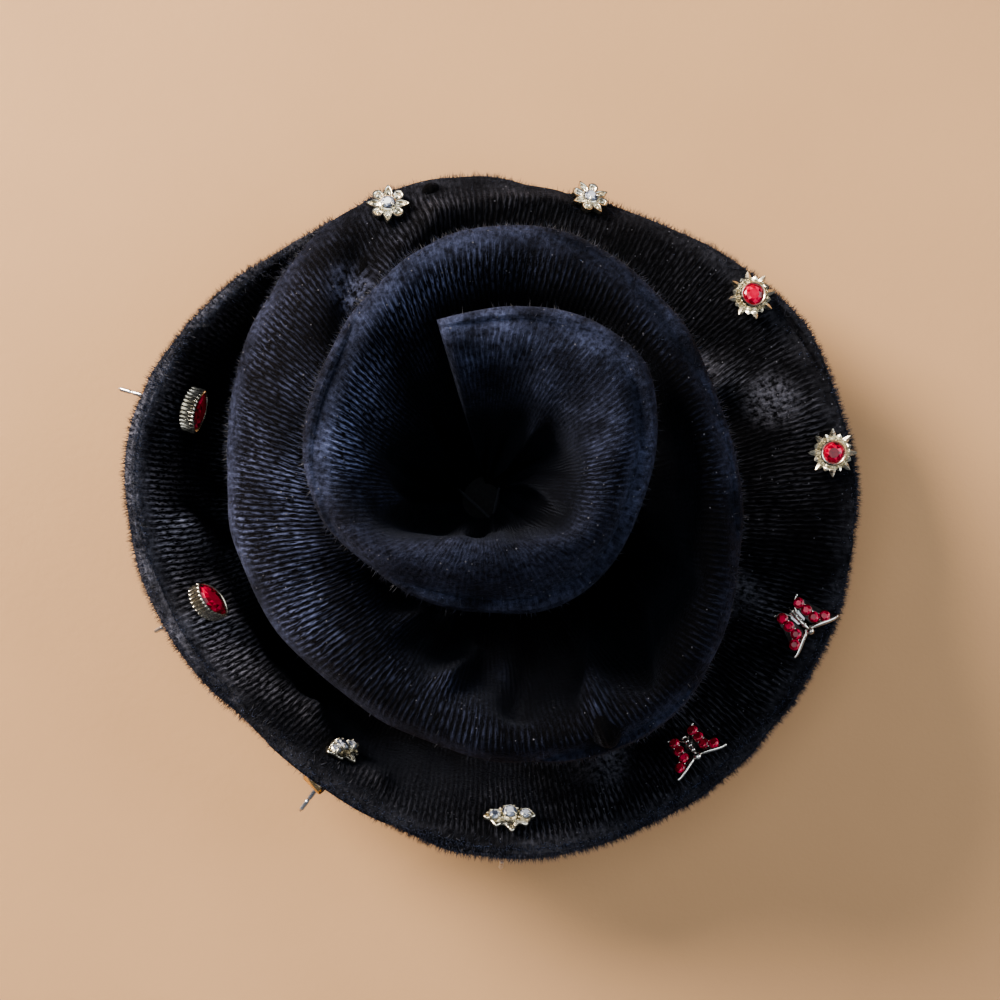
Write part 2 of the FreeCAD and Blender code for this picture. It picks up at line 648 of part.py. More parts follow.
def tiara_setting():
    """A scalloped band with three clear stones over a pointed lobe."""
    plate = prism(TIARA, "dims.setting_thick")
    seats = (("dims.tiara_centre", (0, 0.9, 0.4)), ("dims.tiara_side", (-2.2, 0.45, 0.4)),
             ("dims.tiara_side", (2.2, 0.45, 0.4)))
    cups = [cup(radius, (spot[0], spot[1], 0), 1.1) for radius, spot in seats]
    pockets = [seat_pocket(radius, spot) for radius, spot in seats]
    stones = [stone(radius, spot) for radius, spot in seats]
    return cut(fuse(plate, *cups), *pockets), stones


def navette(length, width, count, ripple=0.0):
    """Pointed oval between two arcs, its edge rippled in and out."""
    half, rise = length / 2, width / 2
    radius = (half * half + rise * rise) / (2 * rise)
    sweep = math.asin(half / radius)
    outline = []
    for side in (1, -1):
        for i in range(count):
            angle = side * (sweep - 2 * sweep * i / count)
            reach = radius + ripple * (i % 2)
            bulge = reach * math.cos(angle) - radius + rise
            outline.append((reach * math.sin(angle), side * bulge))
    return outline


def marquise_setting():
    """A tall milled bezel round a pointed oval red stone."""
    length, width = dim("navette_length"), dim("navette_width")
    flutes = int(dim("navette_flutes"))
    wall = prism(navette(length, width, flutes, ripple=-0.16), "dims.navette_depth")
    inner = (length - 0.9, width - 0.8)
    floor = 1.0
    pocket = prism(navette(inner[0] + 0.06, inner[1] + 0.06, 12), 4.0, z=floor)
    rings = []
    for share, z in ((0.25, floor), (1.0, floor + 1.1), (1.0, floor + 1.25), (0.6, floor + 1.8)):
        points = navette(inner[0] * share, inner[1] * share, 6)
        rings.append(part("Polygon", Nodes=[Vector(x, y, z) for x, y in points], Close=True))
    gem = part("Loft", Sections=rings, Solid=True, Ruled=True)
    return cut(wall, pocket), [gem]


DESIGNS = {
    "flower": (flower_setting, "stone"),
    "sun": (sun_setting, "stone"),
    "butterfly": (butterfly_setting, "stones"),
    "tiara": (tiara_setting, "stones"),
    "marquise": (marquise_setting, "stone"),
}


def stud_post():
    """Solder pad, post with a shallow round groove near its end, and a rounded point."""
    pad = part("Cylinder", Radius="dims.pad_radius", Height="dims.pad_thick")
    shank = part("Cylinder", Radius="dims.post_radius", Height="dims.post_length - dims.post_point")
    groove = part("Torus", Radius1="dims.post_neck + dims.post_groove", Radius2="dims.post_groove")
    point = part("Cone", Radius1=0.12, Radius2="dims.post_radius", Height="dims.post_point")
    pad.setExpression("Placement.Base.z", "-dims.pad_thick")
    shank.setExpression("Placement.Base.z", "-dims.post_length + dims.post_point")
    groove.setExpression("Placement.Base.z", "-dims.post_length + dims.post_neck_reach")
    point.setExpression("Placement.Base.z", "-dims.post_length")
    return fuse(pad, cut(shank, groove), point)


def clutch(front):
    """Butterfly clutch whose plate faces the velvet at z = front, curls on its far side."""
    plate = part("Cylinder", Radius="dims.clutch_plate", Height="dims.clutch_sheet")
    plate.setExpression("Placement.Base.z", f"{front} - dims.clutch_sheet")
    curls, hollows = [plate], []
    reach = "(dims.post_radius + dims.running + dims.clutch_loop)"
    for side in (-1, 1):
        for radius, pieces in (("dims.clutch_loop", curls),
                               ("dims.clutch_loop - dims.clutch_sheet", hollows)):
            curl = part("Cylinder", turn=ALONG_Y, Radius=radius, Height="dims.clutch_width")
            curl.setExpression("Placement.Base.x", f"{side} * {reach}")
            curl.setExpression("Placement.Base.y", "-dims.clutch_width / 2")
            curl.setExpression("Placement.Base.z",
                               f"{front} - 0.8 * dims.clutch_sheet - dims.clutch_loop")
            pieces.append(curl)
    bore = part("Cylinder", Radius="dims.post_radius + dims.running", Height=4.0)
    bore.setExpression("Placement.Base.z", f"{front} - 3")
    return cut(fuse(*curls), bore, *hollows)


def studs(frames):
    for name, design, _, _, _ in STUDS:
        place, axis, depth = frames[name]
        lift = Vector(0, 0, dim("pad_thick"))
        build, word = DESIGNS[design]
        setting, stones = build()
        gems = stones[0] if len(stones) == 1 else part("Compound", Links=stones)
        raised = place.multiply(Placement(lift, Rotation()))
        for obj, label, frame in (
            (setting, f"{name}_setting", raised),
            (gems, f"{name}_{word}", raised),
            (stud_post(), f"{name}_post", raised),
            (clutch(-dim("seat_gap") * 2 - depth), f"{name}_clutch", place),
        ):
            obj.Placement = frame
            node(obj, label)
        base = place.Base
        print(f"STUD {name} seat {base.x:.3f} {base.y:.3f} {base.z:.3f} "
              f"axis {axis.x:.5f} {axis.y:.5f} {axis.z:.5f} depth {depth:.2f}")


def check_and_write():
    doc.recompute()
    for obj in doc.Objects:
        bad = [word for word in obj.State if word in ("Invalid", "Error")]
        if bad:
            raise RuntimeError(f"{obj.Name} ({obj.Label}) failed: {bad} {obj.getStatusString()}")
    os.makedirs("parts", exist_ok=True)
    for obj in nodes:
        shape = obj.Shape
        if shape.isNull() or not shape.isValid() or shape.Volume <= 0:
            raise RuntimeError(f"{obj.Label} has no valid solid")
        shape.exportStep(f"parts/{obj.Label}.step")
        box = shape.BoundBox
        print(f"{obj.Label}: {len(shape.Solids)} solids, {shape.Volume:.1f} mm3, "
              f"x {box.XMin:.1f}..{box.XMax:.1f} y {box.YMin:.1f}..{box.YMax:.1f} "
              f"z {box.ZMin:.1f}..{box.ZMax:.1f}")


fill_sheet()
rose = strip_surface()
frames = stud_frames(rose)
velvet_strip(rose, frames)
felt_backing()
felt_edge_stitches()
coil_stitches()
bar_stitches()
pin_bar()
hinge_rivet()
pin_stem()
catch_housing()
catch_rotor()
studs(frames)
check_and_write()
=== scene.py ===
"""Velvet rose hat pin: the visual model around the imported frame.

A strip of ribbed stretch velvet, folded along its length, is coiled and gathered
into a rose on a felt disc, with ten jewelled post studs round its outermost
petal. Lengths are millimetres until a mesh is made from them, in metres.
"""
import json
import math

import bpy
import numpy as np
from mathutils import Matrix, Vector
from mathutils.bvhtree import BVHTree


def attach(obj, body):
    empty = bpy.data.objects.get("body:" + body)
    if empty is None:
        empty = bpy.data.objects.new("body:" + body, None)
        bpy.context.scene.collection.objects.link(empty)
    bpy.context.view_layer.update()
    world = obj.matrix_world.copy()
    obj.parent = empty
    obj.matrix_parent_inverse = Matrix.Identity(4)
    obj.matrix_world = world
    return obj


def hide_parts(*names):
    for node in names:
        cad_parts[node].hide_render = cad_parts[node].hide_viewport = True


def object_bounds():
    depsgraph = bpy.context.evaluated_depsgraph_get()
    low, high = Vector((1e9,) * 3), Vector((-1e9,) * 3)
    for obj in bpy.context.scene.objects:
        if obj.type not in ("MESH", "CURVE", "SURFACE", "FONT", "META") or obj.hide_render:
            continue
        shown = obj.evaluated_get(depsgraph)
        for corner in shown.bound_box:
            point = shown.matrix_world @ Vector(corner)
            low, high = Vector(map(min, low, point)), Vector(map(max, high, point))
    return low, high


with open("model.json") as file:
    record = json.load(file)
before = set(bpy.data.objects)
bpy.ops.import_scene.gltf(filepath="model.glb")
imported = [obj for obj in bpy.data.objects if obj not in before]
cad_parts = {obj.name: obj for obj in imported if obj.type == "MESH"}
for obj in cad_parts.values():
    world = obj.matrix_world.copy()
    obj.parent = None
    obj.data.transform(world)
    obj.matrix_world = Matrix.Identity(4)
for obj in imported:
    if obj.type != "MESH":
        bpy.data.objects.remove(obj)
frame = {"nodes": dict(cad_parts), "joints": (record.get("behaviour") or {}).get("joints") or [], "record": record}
cad_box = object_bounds()
MM = 0.001
noise_source = np.random.default_rng(11)

# ------------------------------------------------------------------ dimensions

WALL = 2.4                      # doubled velvet with its soft fold
COIL_START = 1.4                # radius of the coil's base at the heart
COIL_END = 15.6                 # and at its outside
HEART = (-1.0, 5.0)             # the heart's base from the coil's middle
START_ANGLE = 105.0             # direction of the strip's inner end
TURN_TOTAL = 1068.0             # degrees that the strip winds, clockwise from above
TURN_STEP = 30.0                # degrees between the given rim radii
STATIONS = 54                   # spline stations along the strip
POLES = 14                      # control points round the strip's section
HALF_STRIP = 46.0               # nominal way over the cloth from base to rim
RIB_SPACING = 0.88
LOWEST = -4.4                   # nothing of the velvet hangs lower
COLUMNS, ROWS = 860, 96         # the cloth's mesh points along and across the strip
FELT_TOP = 1.5
FELT_RADIUS = 17.0
THREAD = 0.4
EDGE_STITCHES = 26
HAIRS = 26000
HAIR_WIDTH = 0.05
POST_REACH = 4.0                # the cloth lies flatter this near to a post

CAMERA_SPOT = (1.1, 2.9, 275.0)
CAMERA_ANGLE = 30.0724           # degrees across the picture
FLOOR_REACH = 1200.0
FLOOR_GAP = 0.1

# Rim radius at every TURN_STEP along the strip, one line a turn.
RIM_RADII = (
    25.5, 27.2, 27.5, 19.1, 15.5, 13.1, 10.9, 10.8, 12.4, 17.3, 24.3, 28.4,
    36.8, 38.1, 34.4, 31.7, 32.3, 34.2, 31.9, 29.4, 29.7, 32.8, 36.8, 43.5,
    49.0, 47.1, 50.5, 52.3, 50.9, 48.1, 48.0, 45.0, 43.1, 46.9, 51.5, 50.0,
    46.0,
)

# The wall's section at key turns: turn angle, then each control point as the share
# of the way out from base to rim and its height, and last the rim's own height.
SECTIONS = (
    (0, (0.20, 10), (0.32, 27), (0.60, 38), (0.90, 44), 44),
    (50, (0.34, 16), (0.46, 33), (0.60, 42), (0.86, 46), 44),
    (90, (0.52, 26), (0.60, 42), (0.65, 47), (0.86, 47), 43),
    (118, (0.58, 28), (0.67, 43), (0.72, 48), (0.89, 47), 43),
    (150, (0.20, 30), (0.23, 45), (0.29, 49), (0.66, 48), 42),
    (200, (0.08, 30), (0.09, 45), (0.15, 49), (0.64, 47), 41),
    (240, (0.12, 30), (0.13, 44), (0.19, 48), (0.62, 47), 42),
    (258, (0.28, 28), (0.31, 42), (0.37, 47), (0.68, 47), 42),
    (277, (0.60, 22), (0.70, 37), (0.76, 44), (0.90, 46), 42),
    (302, (0.24, 14), (0.38, 27), (0.56, 37), (0.86, 43), 42),
    (345, (0.25, 13), (0.45, 25), (0.69, 35), (0.92, 41), 40),
    (385, (0.34, 11), (0.58, 24), (0.74, 35), (0.92, 40), 38),
    (430, (0.43, 9), (0.70, 22), (0.79, 38), (0.90, 40), 37),
    (500, (0.44, 8), (0.71, 20), (0.80, 36), (0.91, 39), 36),
    (565, (0.34, 8), (0.62, 18), (0.80, 33), (0.92, 37), 34),
    (620, (0.22, 12), (0.40, 26), (0.54, 35), (0.82, 35), 29),
    (690, (0.20, 11), (0.38, 24), (0.50, 32), (0.80, 29), 22),
    (722, (0.22, 7), (0.46, 14), (0.68, 19), (0.87, 19), 18),
    (755, (0.22, 4), (0.46, 10), (0.70, 15), (0.89, 14), 10),
    (785, (0.22, 4), (0.46, 6), (0.68, 9), (0.88, 11), 11),
    (815, (0.22, 4), (0.46, 5), (0.70, 8), (0.88, 10), 10),
    (845, (0.22, 4), (0.46, 3), (0.70, 6), (0.88, 9), 10),
    (874, (0.22, 4), (0.46, 0), (0.68, 1), (0.88, 7), 11),
    (912, (0.22, 4), (0.44, -1), (0.64, -4), (0.80, 8), 14),
    (948, (0.22, 4), (0.46, -1), (0.90, -7), (0.89, 10), 20),
    (989, (0.22, 4), (0.44, -1), (0.66, -5), (0.80, 12), 18),
    (1025, (0.22, 4), (0.46, -1), (0.91, -7), (0.90, 10), 20),
    (1068, (0.22, 4), (0.46, 1), (0.74, 0), (0.91, 4), 9),
)

# Each stud: name, design, and the turn of its design about its post.
STUDS = (
    ("flower_1", "flower", 0.0),
    ("flower_2", "flower", 20.0),
    ("sun_1", "sun", 10.0),
    ("sun_2", "sun", 0.0),
    ("butterfly_1", "butterfly", -135.0),
    ("butterfly_2", "butterfly", -135.0),
    ("tiara_1", "tiara", 0.0),
    ("tiara_2", "tiara", 0.0),
    ("marquise_1", "marquise", 90.0),
    ("marquise_2", "marquise", -50.0),
)

# One wing of the butterfly, from the head out along the leading edge and back: x, y.
WING = (
    (0.35, 2.2), (1.7, 3.0), (4.1, 3.9), (3.7, 2.2), (2.9, 0.6),
    (3.1, -0.7), (2.2, -2.5), (0.9, -2.0), (0.3, -0.3),
)
WING_STONES = ((2.95, 2.55), (1.75, 1.65), (1.7, 0.2), (1.6, -1.25))
# The tiara's outline from its left tip over the stones and round its pointed lobe: x, y.
TIARA = (
    (-3.8, 0.5), (-2.8, 1.5), (-1.6, 1.3), (-1.0, 2.0),
    (0.0, 2.3), (1.0, 2.0), (1.6, 1.3), (2.8, 1.5),
    (3.8, 0.5), (2.9, -0.3), (2.2, -1.3), (1.1, -1.0),
    (0.0, -2.3), (-1.1, -1.0), (-2.2, -1.3), (-2.9, -0.3),
)

# Soft ridges pressed into the cloth: turn and share of the way to the rim at one end
# and at the other, half width and height.
RIDGES = (
    (712, 0.72, 731, 0.87, 2.2, 1.9),
    (731, 0.87, 756, 0.94, 1.8, 1.2),
    (700, 0.70, 714, 0.84, 2.4, -1.5),
    (792, 0.50, 803, 0.66, 3.2, 2.0),
    (803, 0.66, 818, 0.88, 3.4, 1.6),
    (848, 0.50, 856, 0.78, 2.8, 1.5),
    (826, 0.45, 836, 0.74, 4.0, -1.6),
    (503, 0.30, 526, 0.86, 2.2, 3.2),
    (490, 0.35, 510, 0.84, 2.6, -2.2),
    (540, 0.35, 548, 0.80, 3.0, -2.0),
    (562, 0.40, 574, 0.78, 2.0, 1.8),
    (585, 0.30, 600, 0.62, 2.4, 2.2),
    (470, 0.45, 480, 0.85, 3.0, -1.2),
    (955, 0.86, 975, 0.78, 2.2, 1.2),
    (975, 0.78, 1009, 0.76, 2.4, 1.4),
    (1014, 0.60, 1022, 0.80, 2.8, 1.6),
    (900, 0.45, 906, 0.82, 3.0, 1.3),
    (924, 0.50, 918, 0.86, 3.2, -1.2),
    (880, 0.50, 886, 0.84, 3.0, 1.1),
    (190, 0.45, 208, 0.66, 2.6, -2.0),
    (70, 0.35, 84, 0.66, 2.6, 1.8),
    (24, 0.30, 30, 0.62, 2.6, 1.5),
    (262, 0.40, 286, 0.74, 3.0, 1.2),
    (300, 0.42, 312, 0.80, 3.4, -1.1),
    (655, 0.50, 668, 0.86, 3.6, -0.9),
    (630, 0.60, 650, 0.90, 3.2, 0.8),
)
# Crushed pile, which also gets a painted shimmer: turn, share of the way to the rim, and radius.
CRUSHED_AND_SHIMMER = (
    (799, 0.60, 7.0), (812, 0.80, 6.0), (854, 0.64, 6.0), (709, 0.78, 5.0), (1017, 0.70, 6.0),
    (590, 0.35, 6.5), (78, 0.52, 4.5), (985, 0.62, 7.0), (738, 0.62, 5.0), (905, 0.70, 7.0),
    (360, 0.62, 4.0), (548, 0.55, 6.0), (965, 0.70, 6.0),
)


# Light and shade painted onto the pile, region by region: turn, then the painted
# brightness at each of the shares of the way from the base to the rim on the next line.
PAINTED_LIGHT_SHARES = (0.2, 0.5, 0.75, 0.9, 1.0)
PAINTED_LIGHT_TABLE = (
    (0, 0.1, 2.0, 4.4, 4.4, 4.0),
    (50, 0.05, 0.5, 2.8, 3.2, 3.4),
    (90, 0.02, 0.15, 0.9, 1.2, 2.2),
    (150, 0.03, 0.1, 1.2, 1.6, 2.4),
    (200, 0.03, 0.1, 1.4, 1.8, 2.6),
    (250, 0.03, 0.1, 1.4, 1.8, 2.6),
    (275, 0.03, 0.1, 1.0, 1.6, 2.2),
    (300, 1.2, 6.0, 9.0, 7.0, 5.0),
    (335, 1.0, 5.0, 7.0, 5.0, 4.0),
    (385, 0.1, 0.4, 0.9, 1.1, 2.2),
    (430, 0.03, 0.03, 0.05, 0.25, 2.0),
    (520, 0.03, 0.03, 0.06, 0.35, 2.0),
    (545, 0.05, 0.2, 0.5, 1.0, 2.4),
    (590, 0.1, 0.3, 0.8, 1.2, 2.4),
    (620, 0.8, 2.0, 3.0, 3.4, 4.0),
    (665, 1.0, 3.2, 4.4, 4.4, 4.4),
    (695, 0.4, 0.9, 1.2, 1.3, 2.4),
    (715, 0.7, 1.3, 1.1, 1.0, 1.8),
    (740, 0.3, 0.5, 0.6, 0.7, 1.3),
    (770, 0.3, 0.5, 0.5, 0.6, 1.3),
    (800, 0.4, 0.6, 0.9, 0.9, 1.8),
    (860, 0.6, 1.1, 1.4, 1.4, 2.0),
    (910, 0.8, 1.5, 1.7, 1.7, 2.4),
    (950, 0.7, 1.3, 1.5, 1.5, 2.0),
    (978, 0.7, 1.3, 1.5, 1.5, 2.0),
    (1004, 2.5, 12.0, 16.0, 16.0, 9.0),
    (1035, 2.5, 12.0, 18.0, 18.0, 9.0),
    (1068, 1.0, 3.0, 4.0, 4.0, 4.0),
)


# ---------------------------------------------------------------- node helpers

class Signal:
    """A node's output, with arithmetic that adds the Math nodes it takes."""

    def __init__(self, nodes, socket):
        self.nodes = nodes
        self.socket = socket

    def __add__(self, other):
        return self.nodes.math("ADD", self, other)

    def __mul__(self, other):
        return self.nodes.math("MULTIPLY", self, other)

    def __rsub__(self, other):
        return self.nodes.math("SUBTRACT", other, self)


class Nodes:
    """Short calls for building a material's node tree."""

    def __init__(self, name):
        self.material = bpy.data.materials.new(name)
        self.material.use_nodes = True
        self.tree = self.material.node_tree
        self.tree.nodes.clear()

    def feed(self, node, inputs):
        """Links the signals and sets the numbers on a node's named or numbered inputs."""
        for key, value in inputs.items():
            if isinstance(value, Signal):
                self.tree.links.new(value.socket, node.inputs[key])
            else:
                node.inputs[key].default_value = value

    def add(self, kind, inputs, output=0, **settings):
        """Adds a node and gives one of its outputs."""
        made = self.tree.nodes.new("ShaderNode" + kind)
        for key, value in settings.items():
            setattr(made, key, value)
        self.feed(made, inputs)
        return Signal(self, made.outputs[output])

    def finish(self, **values):
        """The shader, whose inputs are named with _ for each space."""
        shader = self.add("BsdfPrincipled", {key.replace("_", " "): values[key] for key in values})
        self.feed(self.tree.nodes.new("ShaderNodeOutputMaterial"), {"Surface": shader})
        return self.material

    def math(self, operation, *values):
        return self.add("Math", dict(enumerate(values)), operation=operation)

    def noise(self, coords, scale, detail=2.0, rough=0.5, distortion=0.0):
        return self.add("TexNoise", {"Vector": coords, "Scale": scale, "Detail": detail,
                                     "Roughness": rough, "Distortion": distortion}, "Fac")

    def ramp(self, value, *stops):
        band = self.add("ValToRGB", {"Fac": value})
        elements = band.socket.node.color_ramp.elements
        for place, _ in stops[2:]:
            elements.new(place)
        for element, (place, colour) in zip(elements, stops):
            element.position = place
            element.color = (*colour, 1)
        return band

    def between(self, value, low, high, to_low=0.0, to_high=1.0):
        return self.add("MapRange", {"Value": value, "From Min": low, "From Max": high,
                                     "To Min": to_low, "To Max": to_high})

    def mix(self, share, *colours):
        low, high = (c if isinstance(c, Signal) else (*c, 1) for c in colours)
        return self.add("Mix", {0: share, 6: low, 7: high}, 2, data_type="RGBA", clamp_factor=False)

    def object_coords(self):
        return self.add("TexCoord", {}, "Object")

    def attribute(self, name):
        return self.add("Attribute", {}, "Fac", attribute_name=name)

    def stretched(self, coords, *scale):
        return self.add("Mapping", {"Vector": coords, "Scale": scale})

    def spots(self, coords, scale):
        """Small cells: the distance from each one's middle, and its own random number."""
        distance = self.add("TexVoronoi", {"Vector": coords, "Scale": scale}, "Distance")
        colour = Signal(self, distance.socket.node.outputs["Color"])
        return distance, self.add("SeparateColor", {"Color": colour})

    def bump(self, height, strength, distance):
        return self.add("Bump", {"Height": height, "Strength": strength, "Distance": distance})


def velvet_material():
    """Black pile with a navy sheen and fine ribs across the strip; its colour carries painted light and shade,
    painted shade in the folds, a painted shimmer on crushed pile and painted glints.
    """
    n = Nodes("ribbed_velvet")
    strip = n.add("UVMap", {}, uv_map="strip")
    place = n.object_coords()
    # The attributes carry painted light and shade, a painted shimmer on crushed pile and the navy tint of the
    # painted sheen.
    crush_and_shimmer, painted_light_and_shade, rim, navy = (n.attribute(name) for name in ("crush_and_shimmer", "painted_light_and_shade", "rim", "navy"))
    # Painted shade: the colour darkens deep in the folds, where little of the room is open.
    seen = n.between(n.attribute("open"), 0.12, 0.60, 0.02, 1.0)
    patchy = n.between(n.noise(place, 120, 3.0, 0.6), 0.38, 0.62)
    pile = n.noise(place, 3800, 3.0, 0.7)
    tufts = n.noise(place, 1300, 3.0, 0.65)

    along = n.add("SeparateXYZ", {"Vector": strip}) * (2 * math.pi / (RIB_SPACING * MM))
    rib = (n.math("SINE", along + n.noise(strip, 130) * 9.0) + 1.0) * 0.5
    broken = n.between(n.noise(n.stretched(strip, 1.6, 0.35, 1), 2400, 2.0, 0.6), 0.40, 0.64)
    line = rib * broken * (1.0 - crush_and_shimmer * 0.6)
    fuzz = n.between(tufts, 0.35, 0.65, 0.15, 0.75)
    # Painted light and shade scale the pile's brightness region by region.
    line = (line * (1.0 - rim * 0.8) + fuzz * (rim * 0.65)) * painted_light_and_shade
    # Crushed pile adds a painted shimmer.
    lit = line * n.between(patchy, 0, 1, 0.25, 1.0) + crush_and_shimmer * n.between(tufts, 0.4, 0.62, 0.0, 1.8)
    # The lit colour is navy where the painted sheen is navy, greyer elsewhere.
    top = n.mix(navy, (0.046, 0.045, 0.050), (0.033, 0.038, 0.066))
    colour = n.mix(lit * seen, (0.0016, 0.0016, 0.0022), top)

    # Painted glints: rare bright specks of highlight in the base colour.
    distance, chance = n.spots(place, 2600)
    rare = 0.993 - (crush_and_shimmer + patchy) * 0.032
    glint = n.math("GREATER_THAN", chance, rare) * n.math("LESS_THAN", distance, 0.3) * seen
    ribbed = n.between(n.noise(place, 75), 0.42, 0.60, 0.2, 1.0)
    height = rib * (1.0 - rim * 0.85) * ribbed * 0.4 + (pile * 0.7 + tufts * 0.6)
    return n.finish(
        Base_Color=n.mix(glint, colour, (0.10, 0.10, 0.115)),
        Roughness=n.between(pile, 0.3, 0.7, 0.62, 0.9), Specular_IOR_Level=0.06,
        Sheen_Weight=0.10, Sheen_Roughness=0.3, Sheen_Tint=(0.33, 0.37, 0.50, 1),
        Normal=n.bump(height, 0.9, 0.0004))


def pile_material():
    """Single hairs of the velvet, dark with a blue sheen."""
    n = Nodes("velvet_pile")
    shade = n.noise(n.object_coords(), 900)
    return n.finish(
        Base_Color=n.ramp(shade, (0.35, (0.003, 0.0035, 0.006)), (0.7, (0.018, 0.022, 0.04))),
        Roughness=0.6, Sheen_Weight=0.8, Sheen_Roughness=0.35, Sheen_Tint=(0.26, 0.33, 0.60, 1))


def metal_material(name, bright, dark, rough):
    """Plated metal: a touch of tarnish in patches, fine hairline scratches."""
    n = Nodes(name)
    place = n.object_coords()
    stain = n.noise(place, 420, 3.0, 0.6)
    lines = n.noise(n.stretched(place, 900, 5200, 2600), 1.0, 2.0, 0.6)
    return n.finish(
        Base_Color=n.ramp(stain, (0.3, dark), (0.62, bright)), Metallic=1.0,
        Roughness=n.between(lines, 0.3, 0.7, rough, rough + 0.12),
        Normal=n.bump(n.noise(place, 2600), 0.12, 0.00004))


def stone_material(name, deep, middle, flash):
    """Foiled glass: each facet gets its own random brightness, from its deep colour to a painted flash of
    reflected light.
    """
    n = Nodes(name)
    haze = n.noise(n.object_coords(), 1800)
    value = n.attribute("facet") * 0.85 + haze * 0.3
    return n.finish(
        Base_Color=n.ramp(value, (0.15, deep), (0.62, middle), (0.95, flash)),
        Roughness=n.between(haze, 0.3, 0.7, 0.05, 0.12), Specular_IOR_Level=0.35,
        Coat_Weight=0.3, Coat_Roughness=0.04)


def felt_material():
    """Matted black fibres."""
    n = Nodes("felt")
    place = n.object_coords()
    fibres = n.noise(place, 1500, 4.0, 0.7, 1.5)
    shade = fibres * 0.7 + n.noise(place, 160, 3.0) * 0.3
    return n.finish(
        Base_Color=n.ramp(shade, (0.3, (0.002, 0.002, 0.003)), (0.7, (0.014, 0.014, 0.018))),
        Roughness=0.95, Sheen_Weight=0.35, Sheen_Roughness=0.6,
        Normal=n.bump(fibres, 0.8, 0.0003))


def thread_material():
    """Dark spun thread."""
    n = Nodes("thread")
    fibre = n.noise(n.object_coords(), 5200, 3.0, 0.7)
    return n.finish(
        Base_Color=n.ramp(fibre, (0.3, (0.006, 0.007, 0.012)), (0.7, (0.05, 0.055, 0.075))),
        Roughness=0.6, Sheen_Weight=0.4, Sheen_Roughness=0.4,
        Normal=n.bump(fibre, 0.5, 0.0001))


def floor_material():
    """Plain and pale, with faint clouds and a fine grain."""
    n = Nodes("pale_floor")
    place = n.object_coords()
    cloud = n.noise(place, 14, 4.0, 0.6)
    grain = n.noise(place, 900, 2.0, 0.6)
    return n.finish(
        Base_Color=n.ramp(cloud, (0.3, (0.52, 0.305, 0.150)), (0.7, (0.57, 0.335, 0.165))),
        Roughness=0.7, Normal=n.bump(grain, 0.15, 0.0002))


MATERIALS = {
    "velvet": velvet_material(),
    "pile": pile_material(),
    "felt": felt_material(),
    "thread": thread_material(),
    "nickel": metal_material("nickel", (0.78, 0.76, 0.72), (0.55, 0.53, 0.50), 0.22),
    "steel": metal_material("steel_wire", (0.70, 0.70, 0.71), (0.45, 0.45, 0.47), 0.24),
    "pale_gold": metal_material("pale_gold", (0.88, 0.83, 0.70), (0.62, 0.55, 0.41), 0.20),
    "silver": metal_material("warm_silver", (0.90, 0.86, 0.79), (0.62, 0.57, 0.50), 0.16),
    "oxidised": metal_material("oxidised", (0.13, 0.12, 0.12), (0.04, 0.04, 0.04), 0.35),
    "clutch_gold": metal_material("clutch_gold", (0.88, 0.68, 0.38), (0.60, 0.42, 0.20), 0.18),
    "ruby": stone_material("ruby", (0.06, 0.0, 0.003), (0.42, 0.002, 0.022), (0.85, 0.03, 0.10)),
    "crystal": stone_material("crystal", (0.03, 0.035, 0.05), (0.24, 0.27, 0.35), (0.95, 0.97, 1.0)),
}


# ---------------------------------------------------------------- mesh helpers

def angles_round(count, shift=0.0):
    return [2 * math.pi * (i + shift) / count for i in range(count)]


def circle(radius, height, steps, shift=0.0):
    return [(radius * math.cos(a), radius * math.sin(a), height)
            for a in angles_round(steps, shift)]


def smooth_rise(x, low, high):
    t = np.clip((x - low) / (high - low), 0, 1)
    return t * t * (3 - 2 * t)


def through(a, b, c, d, share):
    """A smooth curve's value between b and c, with a and d their neighbours."""
    return b + 0.5 * share * (c - a + share * (2 * a - 5 * b + 4 * c - d
                                               + share * (3 * (b - c) + d - a)))


def put(name, data):
    obj = bpy.data.objects.new(name, data)
    bpy.context.scene.collection.objects.link(obj)
    return obj


def show(name, mesh, slot, body, stands_for=None):
    """Puts a mesh in the scene as a piece of a body, in place of the CAD node it stands for."""
    mesh.materials.append(MATERIALS[slot])
    obj = put(name, mesh)
    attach(obj, body)
    if stands_for:
        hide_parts(stands_for)
    return obj


def carried(path):
    """Each point of a path, and two directions square to it that turn no more than it does."""
    side = (path[1] - path[0]).normalized().orthogonal().normalized()
    for k, point in enumerate(path):
        ahead = (path[min(k + 1, len(path) - 1)] - path[max(k - 1, 0)]).normalized()
        side = (side - ahead * side.dot(ahead)).normalized()
        yield point, side, ahead.cross(side)


def bands(low, high, sides, leaning):
    """Triangles between two rings of corners."""
    faces = []
    for i in range(sides):
        j = (i + 1) % sides
        if leaning:
            faces += [(low + i, low + j, high + j), (low + i, high + j, high + i)]
        else:
            faces += [(low + i, low + j, high + i), (low + j, high + j, high + i)]
    return faces


